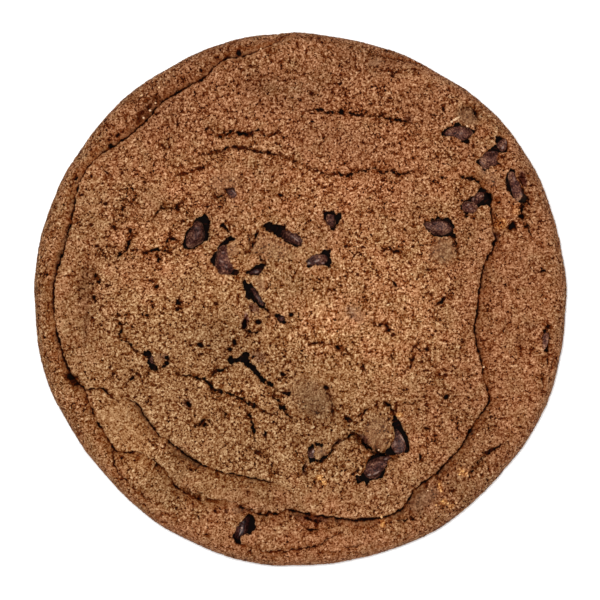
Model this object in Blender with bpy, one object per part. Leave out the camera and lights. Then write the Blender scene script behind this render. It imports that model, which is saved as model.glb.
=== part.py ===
"""A chocolate chip cookie: a thick round of baked dough, with a fold that runs almost all the way
around its crown, a few deep cracks, and chocolate chips that sit in pockets in its top.

The origin is at the middle of the flat underside, +Z is up, and the longest stretch of whole crown
faces +X +Y. Lengths below are in millimetres and angles in degrees, counter-clockwise from +X.
"""

import math

import bmesh
import bpy
import numpy as np
from mathutils import Matrix, Vector

MM = 0.001

# Heights and widths of the dough
CROWN_TOP = 11.5  # the middle of the crown above the table
CROWN_FALL = 1.5  # how much lower the crown lies out at the edge
RIM_DROP = 0.55  # the rim lies this much lower than the crown, just outside the fold
RIM_RISE_RUN = 5.0  # the rim comes back up over this width
SIDE_HEIGHT = 4.6  # where the side stands out furthest
SHOULDER_RUN = 4.2  # width of the rounded shoulder, seen from above
SHOULDER_FULLNESS = 2.4  # 2 is an ellipse, more is squarer
FOOT_RUN = 1.7  # how far the side tucks in again below SIDE_HEIGHT
LUMP_HEIGHT = 0.28  # broad uneven swells of the top
EDGE_WOBBLE = 0.09  # small unevenness of the outline

# The outline: (angle, radius)
OUTLINE = [
    (0, 49.9), (25, 50.3), (50, 50.4), (59, 49.9), (70, 49.8), (100, 50.3), (130, 50.1),
    (165, 50.0), (195, 49.8), (220, 49.2), (250, 50.0), (285, 49.8), (311, 50.1), (320, 49.8),
    (332, 50.2),
]

# The fold around the crown: (angle, radius)
FOLD = [
    (0, 33.2), (10, 34.8), (19, 38.1), (29, 40.2), (38, 37.8), (60, 43.0), (80, 48.2), (90, 49.2),
    (98, 47.5), (107, 46.9), (114, 44.8), (122, 44.5), (134, 44.0), (147, 46.3), (154, 46.4),
    (167, 44.9), (176, 46.0), (190, 45.3), (199, 45.2), (205, 43.8), (217, 44.3), (224, 41.3),
    (231, 40.1), (236, 41.8), (246, 41.4), (262, 40.3), (268, 39.2), (279, 41.1), (289, 43.1),
    (296, 43.2), (303, 41.1), (311, 40.8), (325, 39.9), (332, 39.8), (337, 37.4), (345, 34.3),
    (351, 32.8),
]
FOLD_DEPTH = 1.5
FOLD_HALF_WIDTH = 0.55
# How strong the fold is: (angle, share of its depth)
FOLD_STRENGTH = [
    (0, 1.0), (31, 1.0), (38, 0.5), (45, 0.0), (65, 0.0), (84, 0.0), (93, 0.6), (103, 0.9),
    (130, 0.6), (160, 0.9), (200, 1.0), (260, 0.9), (300, 0.8), (330, 0.8),
]

# Rings of the body's mesh
COLUMNS = 110
CROWN_RINGS = (0.16, 0.33, 0.49, 0.63, 0.75, 0.85, 0.92, 0.97)  # shares of the fold's radius
RIM_RINGS = (0.0, 0.14, 0.3, 0.5, 0.68, 0.82, 0.92, 0.98, 1.0)  # shares from fold to outline
SIDE_RINGS = (0.3, 0.6, 0.85, 1.0)  # shares of the way from the widest line down to the table

# Deep cracks: half width, depth, then the points that each runs through
CRACKS = {
    "lower_left_fold": (0.45, 1.7, [
        (-32.0, -18.4), (-29.0, -21.3), (-26.6, -25.2), (-21.7, -28.4), (-14.2, -31.7),
        (-9.6, -33.1), (-2.4, -34.0)]),
    "top": (0.25, 1.0, [(0.0, 35.1), (3.9, 35.3), (8.6, 34.9), (13.9, 34.4), (15.4, 33.6)]),
    "upper_right": (0.22, 0.9, [
        (0.9, 24.8), (5.1, 23.3), (11.6, 24.1), (14.2, 24.4), (19.7, 23.3), (25.5, 23.9)]),
    "upper_left": (0.2, 0.8, [
        (-24.3, 22.8), (-18.5, 24.6), (-12.7, 28.6), (-6.9, 28.2), (-0.7, 25.9)]),
    "upper_left_short": (0.2, 0.7, [
        (-19.1, 31.2), (-15.5, 31.0), (-11.6, 31.6), (-8.1, 30.6), (-4.1, 31.7)]),
    "lower_left": (0.2, 0.7, [(-24.0, -12.6), (-20.6, -14.1), (-15.2, -17.0), (-10.1, -18.8)]),
    "right": (0.22, 0.8, [(22.7, -6.8), (21.0, -9.6), (20.8, -11.7), (18.7, -14.1)]),
    "chip_gap": (0.3, 1.1, [(10.7, -24.8), (7.9, -26.3), (6.1, -27.8)]),
}
CRACK_STEP = 1.5  # spacing of the sections along a crack
CRACK_RISE = 1.2  # how far a crack's cutter stands above the surface
CRACK_TIP = 0.25  # share of width and depth that is left at a crack's ends

# Chips: centre x, y, length, width, height, then the angle that the length points in
CHIPS = {
    "chip_ne_outer": (29.8, 31.2, 5.2, 3.0, 2.6, 12),
    "chip_ne_upper_small": (38.0, 29.2, 2.6, 1.9, 1.8, 80),
    "chip_ne_lower": (35.4, 26.3, 3.8, 3.4, 2.4, 40),
    "chip_almond_west": (-19.5, 12.7, 6.0, 4.4, 3.0, 62),
    "chip_kidney_west": (-14.3, 7.7, 4.6, 3.3, 2.6, 105),
    "chip_crescent_mid": (-3.2, 12.3, 5.8, 2.6, 2.2, -24),
    "chip_triangle_mid": (-8.2, 5.7, 3.2, 2.0, 1.8, 20),
    "chip_sliver_mid": (-8.5, 0.9, 4.8, 1.8, 1.8, -51),
    "chip_speck_mid": (-3.2, -3.5, 1.8, 1.5, 1.4, 30),
    "chip_round_mid": (5.8, 15.1, 3.6, 2.8, 2.2, 95),
    "chip_glossy_mid": (3.2, 7.6, 4.2, 2.8, 2.2, 8),
    "chip_east": (26.0, 13.8, 5.0, 3.1, 2.6, -14),
    "chip_east_gap": (33.7, 19.5, 2.5, 2.3, 2.0, 50),
    "chip_east_grey": (31.2, 17.2, 2.6, 2.4, 2.0, 20),
    "chip_almond_east": (40.1, 21.2, 5.4, 2.3, 2.2, -70),
    "chip_hollow_west": (-26.7, -11.2, 3.2, 2.9, 2.2, 10),
    "chip_hollow_mid": (-11.3, -10.9, 4.0, 1.8, 2.0, -6),
    "chip_hollow_mid_tail": (-7.4, -14.3, 4.2, 1.7, 2.0, -47),
    "chip_buried_north": (-12.8, 19.8, 2.3, 1.5, 1.4, -25),
    "chip_edge_east": (45.7, -7.6, 4.8, 1.9, 1.8, 84),
    "chip_crescent_south": (18.6, -26.3, 5.6, 3.3, 2.6, -72),
    "chip_glossy_south": (14.1, -31.3, 5.2, 3.1, 2.8, 45),
    "chip_glossy_edge": (-10.3, -42.6, 5.4, 3.0, 2.6, 61),
    "chip_ring_south": (2.8, -28.6, 2.5, 2.4, 2.0, 0),
}
CHIP_COLUMNS = 9
CHIP_BANDS = 5
CHIP_TAPER = 0.16  # one end of a chip is this much slimmer
CHIP_PROUD = 0.1  # a chip's top above the dough around it
POCKET_GAP = 0.32  # clear space between a chip and its pocket
POCKET_FLARE = 0.12  # how much wider a pocket opens at its mouth
POCKET_RISE = 1.4  # how far a pocket's cutter stands above the chip

DOUGH_COLOUR = (0.255, 0.112, 0.047, 1.0)
CHOCOLATE_COLOUR = (0.022, 0.011, 0.009, 1.0)


def around(knots, degrees):
    """Smooth closed curve: a cubic through the knots, whose slope at each is its neighbours' chord."""
    angle = np.array([knot[0] for knot in knots], dtype=float)
    value = np.array([knot[1] for knot in knots], dtype=float)
    angle = np.concatenate([angle[-2:] - 360, angle, angle[:3] + 360])
    value = np.concatenate([value[-2:], value, value[:3]])
    slope = np.gradient(value, angle)
    degrees = np.mod(degrees, 360)
    left = np.clip(np.searchsorted(angle, degrees, side="right") - 1, 0, len(angle) - 2)
    span = angle[left + 1] - angle[left]
    t = (degrees - angle[left]) / span
    rise = value[left] * (1 + 2 * t) * (1 - t) ** 2 + value[left + 1] * t ** 2 * (3 - 2 * t)
    bend = span * (slope[left] * t * (1 - t) ** 2 - slope[left + 1] * t ** 2 * (1 - t))
    return rise + bend


def outline_radius(degrees):
    """Radius of the widest line: the outline's curve with a few small waves on it."""
    turn = np.radians(degrees)
    wobble = np.sin(11 * turn + 1.3) + 0.8 * np.sin(17 * turn + 0.4) + 0.6 * np.sin(29 * turn)
    return around(OUTLINE, degrees) + EDGE_WOBBLE * wobble


def fold_strength(degrees):
    return np.clip(around(FOLD_STRENGTH, degrees), 0, 1)


def top_height(x, y):
    """Height of the top: a low dome with broad swells, stepped down and notched at the fold, and
    rounded off to SIDE_HEIGHT by a superellipse over the last SHOULDER_RUN to the outline."""
    radius = np.hypot(x, y)
    degrees = np.degrees(np.arctan2(y, x))
    outline = outline_radius(degrees)
    height = CROWN_TOP - CROWN_FALL * (radius / outline) ** 2
    height += LUMP_HEIGHT * (np.sin(0.11 * x + 0.8) * np.cos(0.13 * y) - 0.6)
    height += 0.4 * LUMP_HEIGHT * np.sin(0.27 * x - 0.9) * np.sin(0.24 * y + 0.5)
    strength = fold_strength(degrees)
    outside = radius - around(FOLD, degrees)
    rise = np.clip(outside / RIM_RISE_RUN, 0, 1)
    height -= strength * RIM_DROP * (outside > 0) * (1 - 0.5 * rise)
    notch = np.clip(1 - np.abs(outside) / FOLD_HALF_WIDTH, 0, 1)
    height -= strength * FOLD_DEPTH * notch
    inset = np.clip(1 - (outline - radius) / SHOULDER_RUN, 0, 1)
    fullness = (1 - inset ** SHOULDER_FULLNESS) ** (1 / SHOULDER_FULLNESS)
    return SIDE_HEIGHT + (height - SIDE_HEIGHT) * fullness


def dough_rings():
    """Rings of points from the middle of the top, over the fold and the shoulder, to the foot."""
    degrees = np.arange(COLUMNS) * 360 / COLUMNS
    turn = np.radians(degrees)
    across = np.stack([np.cos(turn), np.sin(turn)], axis=1)
    fold = around(FOLD, degrees)
    outline = outline_radius(degrees)
    radii = [fold * share for share in CROWN_RINGS]
    radii.append(fold - FOLD_HALF_WIDTH * np.minimum(1, (outline - fold) / 2))
    radii += [fold + (outline - fold) * share for share in RIM_RINGS]
    rings = []
    for radius in radii:
        place = across * radius[:, None]
        rings.append(np.column_stack([place, top_height(place[:, 0], place[:, 1])]))
    for share in SIDE_RINGS:
        tuck = FOOT_RUN * (1 - math.sqrt(1 - share ** 2))
        place = across * (outline - tuck)[:, None]
        rings.append(np.column_stack([place, np.full(COLUMNS, SIDE_HEIGHT * (1 - share))]))
    return rings


def add_object(name, points, faces, material):
    """A new object from points in millimetres, faces turned outwards and shaded smooth."""
    mesh = bpy.data.meshes.new(name)
    mesh.from_pydata((np.asarray(points) * MM).tolist(), [], faces)
    shell = bmesh.new()
    shell.from_mesh(mesh)
    bmesh.ops.recalc_face_normals(shell, faces=shell.faces)
    shell.to_mesh(mesh)
    shell.free()
    mesh.shade_smooth()
    mesh.set_sharp_from_angle(angle=math.radians(40))
    if material:
        mesh.materials.append(material)
    thing = bpy.data.objects.new(name, mesh)
    bpy.context.scene.collection.objects.link(thing)
    return thing


def tube_faces(sections, sides):
    """Quads between successive closed sections, as lists of point numbers."""
    faces = []
    for section in range(sections - 1):
        for side in range(sides):
            after = (side + 1) % sides
            low = section * sides
            high = low + sides
            faces.append([low + side, low + after, high + after, high + side])
    return faces


def make_dough(material):
    """The dough: a point at the middle, the rings around it, and one flat face underneath."""
    rings = dough_rings()
    middle = [0.0, 0.0, float(top_height(np.array(0.0), np.array(0.0)))]
    points = np.vstack(rings + [np.array([middle])])
    faces = tube_faces(len(rings), COLUMNS)
    centre = len(points) - 1
    faces += [[side, (side + 1) % COLUMNS, centre] for side in range(COLUMNS)]
    faces.append([(len(rings) - 1) * COLUMNS + side for side in range(COLUMNS)])
    return add_object("cookie_dough", points, faces, material)


def smooth_path(points, step):
    """Points every step or so along a cubic curve through the given points."""
    points = np.array(points, dtype=float)
    travel = np.concatenate([[0], np.cumsum(np.hypot(*np.diff(points, axis=0).T))])
    slope = np.gradient(points, travel, axis=0)
    places = np.linspace(0, travel[-1], max(4, round(travel[-1] / step) + 1))
    left = np.clip(np.searchsorted(travel, places, side="right") - 1, 0, len(travel) - 2)
    span = (travel[left + 1] - travel[left])[:, None]
    t = (places - travel[left])[:, None] / span
    rise = points[left] * (1 + 2 * t) * (1 - t) ** 2 + points[left + 1] * t ** 2 * (3 - 2 * t)
    bend = span * (slope[left] * t * (1 - t) ** 2 - slope[left + 1] * t ** 2 * (1 - t))
    return rise + bend


def crack_cutter(name, half_width, depth, points):
    """A wedge carried along a crack: a V whose foot is depth below the surface, slimmer and
    shallower towards both ends, closed over by a flat top above the surface."""
    path = smooth_path(points, CRACK_STEP)
    along = np.gradient(path, axis=0)
    along /= np.linalg.norm(along, axis=1)[:, None]
    aside = np.column_stack([-along[:, 1], along[:, 0]])
    share = np.linspace(0, 1, len(path))
    swell = CRACK_TIP + (1 - CRACK_TIP) * np.sin(np.pi * share) ** 0.7
    surface = top_height(path[:, 0], path[:, 1])
    reach = half_width * swell * (1 + CRACK_RISE / (depth * swell))
    left = np.column_stack([path + aside * reach[:, None], surface + CRACK_RISE])
    right = np.column_stack([path - aside * reach[:, None], surface + CRACK_RISE])
    foot = np.column_stack([path, surface - depth * swell])
    rows = np.stack([left, right, foot], axis=1).reshape(-1, 3)
    last = len(rows) - 3
    faces = tube_faces(len(path), 3) + [[0, 1, 2], [last, last + 1, last + 2]]
    return add_object(name, rows, faces, None)


def lump(length, width, height, grow, flare, rise):
    """A chip or its pocket: an ellipsoid with one slimmer end and two soft dents, each half
    axis longer by grow. A pocket's upper half also widens by flare and stands up by rise."""
    latitude = np.linspace(-90, 90, CHIP_BANDS + 1)[1:-1]
    longitude = np.arange(CHIP_COLUMNS) * 360 / CHIP_COLUMNS
    band, column = np.meshgrid(np.radians(latitude), np.radians(longitude), indexing="ij")
    dent = 1 + 0.07 * np.cos(2 * column + 0.6) * np.cos(band) + 0.04 * np.sin(3 * column)
    east = np.cos(band) * np.cos(column) * dent
    north = np.cos(band) * np.sin(column) * dent * (1 - CHIP_TAPER * east)
    up = np.sin(band)
    mouth = 1 + flare * np.clip(up, 0, 1)
    x = (length / 2 + grow) * east * mouth
    y = (width / 2 + grow) * north * mouth
    z = (height / 2 + grow) * up + rise * np.clip(up, 0, 1)
    points = np.stack([x, y, z], axis=-1).reshape(-1, 3)
    tip = height / 2 + grow
    points = np.vstack([points, [0, 0, -tip], [0, 0, tip + rise]])
    bottom = len(points) - 2
    top = bottom + 1
    last = (CHIP_BANDS - 2) * CHIP_COLUMNS
    faces = tube_faces(CHIP_BANDS - 1, CHIP_COLUMNS)
    for column_number in range(CHIP_COLUMNS):
        after = (column_number + 1) % CHIP_COLUMNS
        faces.append([bottom, column_number, after])
        faces.append([top, last + column_number, last + after])
    return points, faces


def level_height(x, y):
    """Height of the dough around a place, without the fold's notch: the middle of four points."""
    reach = 1.2
    offsets = np.array([(reach, 0), (-reach, 0), (0, reach), (0, -reach)])
    return float(np.median(top_height(x + offsets[:, 0], y + offsets[:, 1])))


def chip_place(x, y, height, angle):
    """Where a chip sits: its top just proud of the dough, tilted as the dough's surface is."""
    reach = 1.0
    slope_x = (level_height(x + reach, y) - level_height(x - reach, y)) / (2 * reach)
    slope_y = (level_height(x, y + reach) - level_height(x, y - reach)) / (2 * reach)
    normal = Vector((-slope_x, -slope_y, 1)).normalized()
    turn = math.radians(angle)
    lengthways = Vector((math.cos(turn), math.sin(turn), 0))
    lengthways = (lengthways - normal * lengthways.dot(normal)).normalized()
    sideways = normal.cross(lengthways)
    centre = Vector((x, y, level_height(x, y))) - normal * (height / 2 - CHIP_PROUD)
    tilt = Matrix((lengthways, sideways, normal)).transposed()
    return centre * MM, tilt.to_euler()


def cut(dough, cutter):
    """Take the cutter's shape out of the dough."""
    cutter.hide_render = True
    cutter.display_type = "WIRE"
    step = dough.modifiers.new(cutter.name, "BOOLEAN")
    step.operation = "DIFFERENCE"
    step.solver = "EXACT"
    step.object = cutter


def make_chip(dough, name, size, material):
    """One chip in its own pocket."""
    x, y, length, width, height, angle = size
    location, rotation = chip_place(x, y, height, angle)
    pocket = add_object(
        name + "_pocket", *lump(length, width, height, POCKET_GAP, POCKET_FLARE, POCKET_RISE), None)
    chip = add_object(name, *lump(length, width, height, 0, 0, 0), material)
    for thing in (pocket, chip):
        thing.location = location
        thing.rotation_euler = rotation
    cut(dough, pocket)


def make_material(name, colour, roughness):
    material = bpy.data.materials.new(name)
    material.use_nodes = True
    shader = material.node_tree.nodes["Principled BSDF"]
    shader.inputs["Base Color"].default_value = colour
    shader.inputs["Roughness"].default_value = roughness
    shader.inputs["Metallic"].default_value = 0.0
    return material


def main():
    for thing in list(bpy.data.objects):
        bpy.data.objects.remove(thing)
    baked_dough = make_material("baked_dough", DOUGH_COLOUR, 0.85)
    chocolate = make_material("chocolate", CHOCOLATE_COLOUR, 0.35)
    dough = make_dough(baked_dough)
    for name, (half_width, depth, points) in CRACKS.items():
        cut(dough, crack_cutter(name + "_crack", half_width, depth, points))
    for name, size in CHIPS.items():
        make_chip(dough, name, size, chocolate)


main()
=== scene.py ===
"""The cookie's finished look: a dry, sandy crust with its folds, cracks and hollows, a browned
underside, and chocolate chips that sit in openings of the crust.

Lengths are in millimetres until a mesh is made. The crust is worked out on a flat skin, (u, v): out
to the start of the shoulder it is simply x and y, and beyond that its radius is the distance along
the surface, over the shoulder and down the side. Every feature is drawn on the skin, as a shift
within it and a lift along its normal, and wrap() then lays the skin on the body.
"""

import math

import bpy
import numpy as np
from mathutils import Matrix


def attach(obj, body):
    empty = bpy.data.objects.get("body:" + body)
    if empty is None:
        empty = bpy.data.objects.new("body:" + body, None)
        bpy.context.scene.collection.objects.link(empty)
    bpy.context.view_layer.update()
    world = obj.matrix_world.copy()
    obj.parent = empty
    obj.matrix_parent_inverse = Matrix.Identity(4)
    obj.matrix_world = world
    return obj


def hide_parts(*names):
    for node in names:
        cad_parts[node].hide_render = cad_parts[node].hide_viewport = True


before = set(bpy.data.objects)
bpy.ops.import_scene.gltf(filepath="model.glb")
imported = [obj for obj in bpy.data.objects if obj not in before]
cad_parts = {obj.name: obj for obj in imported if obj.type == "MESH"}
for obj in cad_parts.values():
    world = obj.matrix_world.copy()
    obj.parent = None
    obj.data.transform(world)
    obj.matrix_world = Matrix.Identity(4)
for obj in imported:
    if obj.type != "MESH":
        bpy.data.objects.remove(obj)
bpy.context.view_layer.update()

MM = 0.001

# The body: the same sizes as the CAD dough, drawn in a little so that the grain stays inside it
CROWN_TOP = 11.28  # the middle of the crown above the table
CROWN_FALL = 1.5  # how much lower the crown lies out at the edge
SWELL = 0.28  # broad uneven swells of the top
SIDE_HEIGHT = 4.6  # where the side stands out furthest
OUTLINE_INSET = 0.14
SHOULDER_RUN = 4.2  # width of the rounded shoulder, seen from above
SHOULDER_FULLNESS = 2.4  # 2 is an ellipse, more is squarer
SHOULDER_RISE = 5.3  # the usual height of the top above the widest line, at the shoulder
FOOT_RUN = 1.7  # how far the side tucks in again below SIDE_HEIGHT

# How fine the meshes are
TOP_STEPS = 312  # rings of the top, and half the columns of a quarter's edge
SIDE_ROWS = 72
BASE_STEPS = 156
CHIP_COLUMNS, CHIP_BANDS = 96, 48
CRUMB_COLUMNS, CRUMB_BANDS = 10, 6
PATH_STEP = 0.4

# The plain backs that close the crust's pieces, hidden inside: heights above the table, and how
# far out the side's back stands, as a share of the shoulder's start
TOP_BACK, SIDE_BACK, BASE_BACK = 3.0, 4.0, 2.0
SIDE_BACK_SHARE = 0.93

# Places on the bake maps, which run from 0 to 1. A patch's face lies above its walls' strip and
# its back's strip, and the side's face lies in bands, one above the other.
MAP_LOW, MAP_HIGH = 0.01, 0.99
FACE_FLOOR = 0.065
WALL_STRIP = (0.035, 0.055)
BACK_STRIP = (0.005, 0.03)
SIDE_BANDS, BAND_FLOOR, BAND_STEP, BAND_HEIGHT, BAND_WIDTH = 3, 0.1, 0.3, 0.285, 0.96

# Chips: how many flat sides press each ball, how near they may lie, and how sharp they are
CHIP_SIDES = 13
CHIP_SIDE_REACH = (0.74, 0.96)
CHIP_SHARPNESS = 14
CHIP_SQUARENESS = 0.6  # below 1, a chip's outline from the side is boxier than a ball's
CHIP_DICE, CHIP_SEED = 700, 300

# Lights: width, power and place. The camera's height and the width that it sees are in metres
LIGHTS = {
    "key_light": (0.1, 5.78, (-0.014, 0.02, 0.7)),
    "fill_light": (0.3, 1.2, (0.01, -0.01, 0.7)),
}
CAMERA_HEIGHT = 1.6
FRAME_WIDTH = 0.1124
SENSOR_WIDTH = 36.0  # millimetres, as Blender gives it
FLOOR_GREY, FLOOR_GLOW, SKY_STRENGTH = 0.93, 0.25, 0.22

# The fold that runs round the crown, counter-clockwise from the top: x, y and strength
FOLD = [
    (0.4, 49.7, 0), (-2.4, 49, 0.95), (-6.2, 47.3, 1.05), (-11.8, 45.2, 1.1), (-13.9, 45, 1),
    (-15.7, 43.5, 0.8), (-17.8, 41.3, 0.8), (-20.6, 39.8, 0.95), (-25.8, 36.6, 1.05),
    (-28.8, 33.2, 1), (-33.2, 29.5, 1), (-36, 27.8, 1), (-40.1, 24.1, 1), (-41.2, 21.8, 1.1),
    (-42.1, 17.1, 1), (-43.8, 9.6, 1.2), (-45.5, 4.4, 1.2), (-45.9, 1.8, 1), (-45.6, -4.1, 0.9),
    (-44.6, -8.3, 1.15), (-43.4, -12.1, 1.1), (-42, -14.8, 1.2), (-40.1, -16.6, 0.9),
    (-39.4, -19, 0.85), (-38.2, -21.4, 0.85), (-37, -23.9, 0.85), (-35.6, -26.1, 0.8),
    (-34.1, -28, 0.8), (-31.7, -28.3, 0.85), (-29.8, -28.4, 0.9), (-28.2, -29.5, 0.85),
    (-26.8, -30.3, 0.8), (-25.5, -31.2, 0.7), (-24.4, -32.8, 0.65), (-23, -34.7, 0.75),
    (-21.1, -36, 0.8), (-19.5, -36.9, 0.75), (-17.5, -37.5, 0.75), (-15, -37.9, 0.75),
    (-12.6, -38.1, 0.55), (-10.5, -38.7, 0.65), (-8.8, -39.4, 0.85), (-6.4, -40, 0.95),
    (-3.9, -39.6, 0.95), (-2.2, -39, 1), (-0.5, -39.3, 1.2), (2.6, -40, 1.1), (5.4, -40.3, 1.05),
    (8.5, -40.7, 1.15), (10.3, -41, 1.3), (13.7, -40.7, 1.2), (15.8, -40.3, 1), (17.5, -39.8, 1.15),
    (19.3, -38.4, 0.95), (20.6, -36.3, 0.9), (22.4, -34.2, 0.95), (24.5, -32.9, 0.95),
    (26.7, -30.8, 1.15), (28.3, -29.1, 1), (30, -27.3, 1.05), (30.7, -25.9, 1), (32.1, -23.5, 0.95),
    (33.5, -21.4, 0.9), (34.5, -20, 0.9), (35.1, -18.7, 0.9), (34.9, -16.9, 0.75),
    (34.3, -15.5, 0.7), (34, -13.5, 0.8), (33.5, -11, 0.95), (32.8, -8.3, 1.1), (32.4, -5.2, 1.1),
    (32.8, -2.7, 0.9), (33.1, -0.3, 1.15), (33.4, 2.8, 1.15), (33.7, 4.8, 1.15), (34.2, 6.6, 1.05),
    (35, 8.3, 0.9), (35.8, 9.6, 0.9), (36.2, 10.8, 1.05), (36.2, 12.2, 0.9), (35.9, 13.2, 0.85),
    (35.7, 14.6, 0.95), (35.5, 16.3, 0.85), (35.5, 17.7, 1), (35.4, 18.7, 1.1), (34.8, 19.8, 1.1),
    (34.1, 20.8, 1), (33.1, 21.9, 0.8), (32.4, 22.7, 0.6), (29.3, 23.1, 0),
]
# The second fold, at the lower left
LOWER_FOLD = [
    (-33, -18.6, 0), (-31.7, -18.6, 0.9), (-30.3, -19.3, 1.3), (-28.9, -21.4, 1.7),
    (-27.4, -23.6, 1.7), (-26.2, -25.2, 0.9), (-24.9, -26, 0.6), (-23.9, -26.6, 1.3),
    (-22.4, -27.9, 2.1), (-20.2, -29.3, 2.1), (-18.9, -30.2, 1.5), (-17, -31.2, 0.8),
    (-14.6, -32, 0.9), (-11.6, -32.5, 1.1), (-9.1, -33.1, 1.3), (-6.7, -33.6, 1), (-4.9, -34, 0.6),
    (-2.6, -34.9, 0),
]
# The section across a fold: where a point starts, where it goes, and its lift. The lip on the
# inner side leans over a narrow gap, and the outer side climbs back to a rim that lies lower.
FOLD_SECTION = [
    (-9, -9, 0), (-2.6, -2.6, 0), (-1.5, -1.42, 0.07), (-0.8, -0.62, 0.08), (-0.4, -0.16, 0),
    (-0.12, 0.08, -0.3), (0.05, 0.12, -0.75), (0.2, 0.1, -1.15), (0.35, 0.17, -1.15),
    (0.5, 0.32, -0.8), (0.75, 0.62, -0.5), (1.1, 1.02, -0.34), (1.8, 1.78, -0.26), (3.2, 3.2, -0.2),
    (4.6, 4.6, -0.12), (6, 6, 0),
]
FOLD_REACH = 6.0
# The section across a crack, by distance from its middle in half widths: its share of the depth,
# how far the points beside it are drawn in, its painted shade, and the painted shadow just
# outside it
CRACK_DROP = ([0, 0.7, 1.3, 1.9, 2.6], [1, 0.85, 0.35, 0.04, 0])
CRACK_PINCH = ([0, 1.0, 1.7, 2.5, 4.0], [0, 0.3, 0.6, 0.45, 0])
CRACK_DARK = ([0, 0.85, 1.3, 2.1], [1, 1, 0.4, 0])
CRACK_SHADOW = ([1.2, 1.8, 3.6], [0, 1, 0])
CRACK_REACH = 4.0

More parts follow.
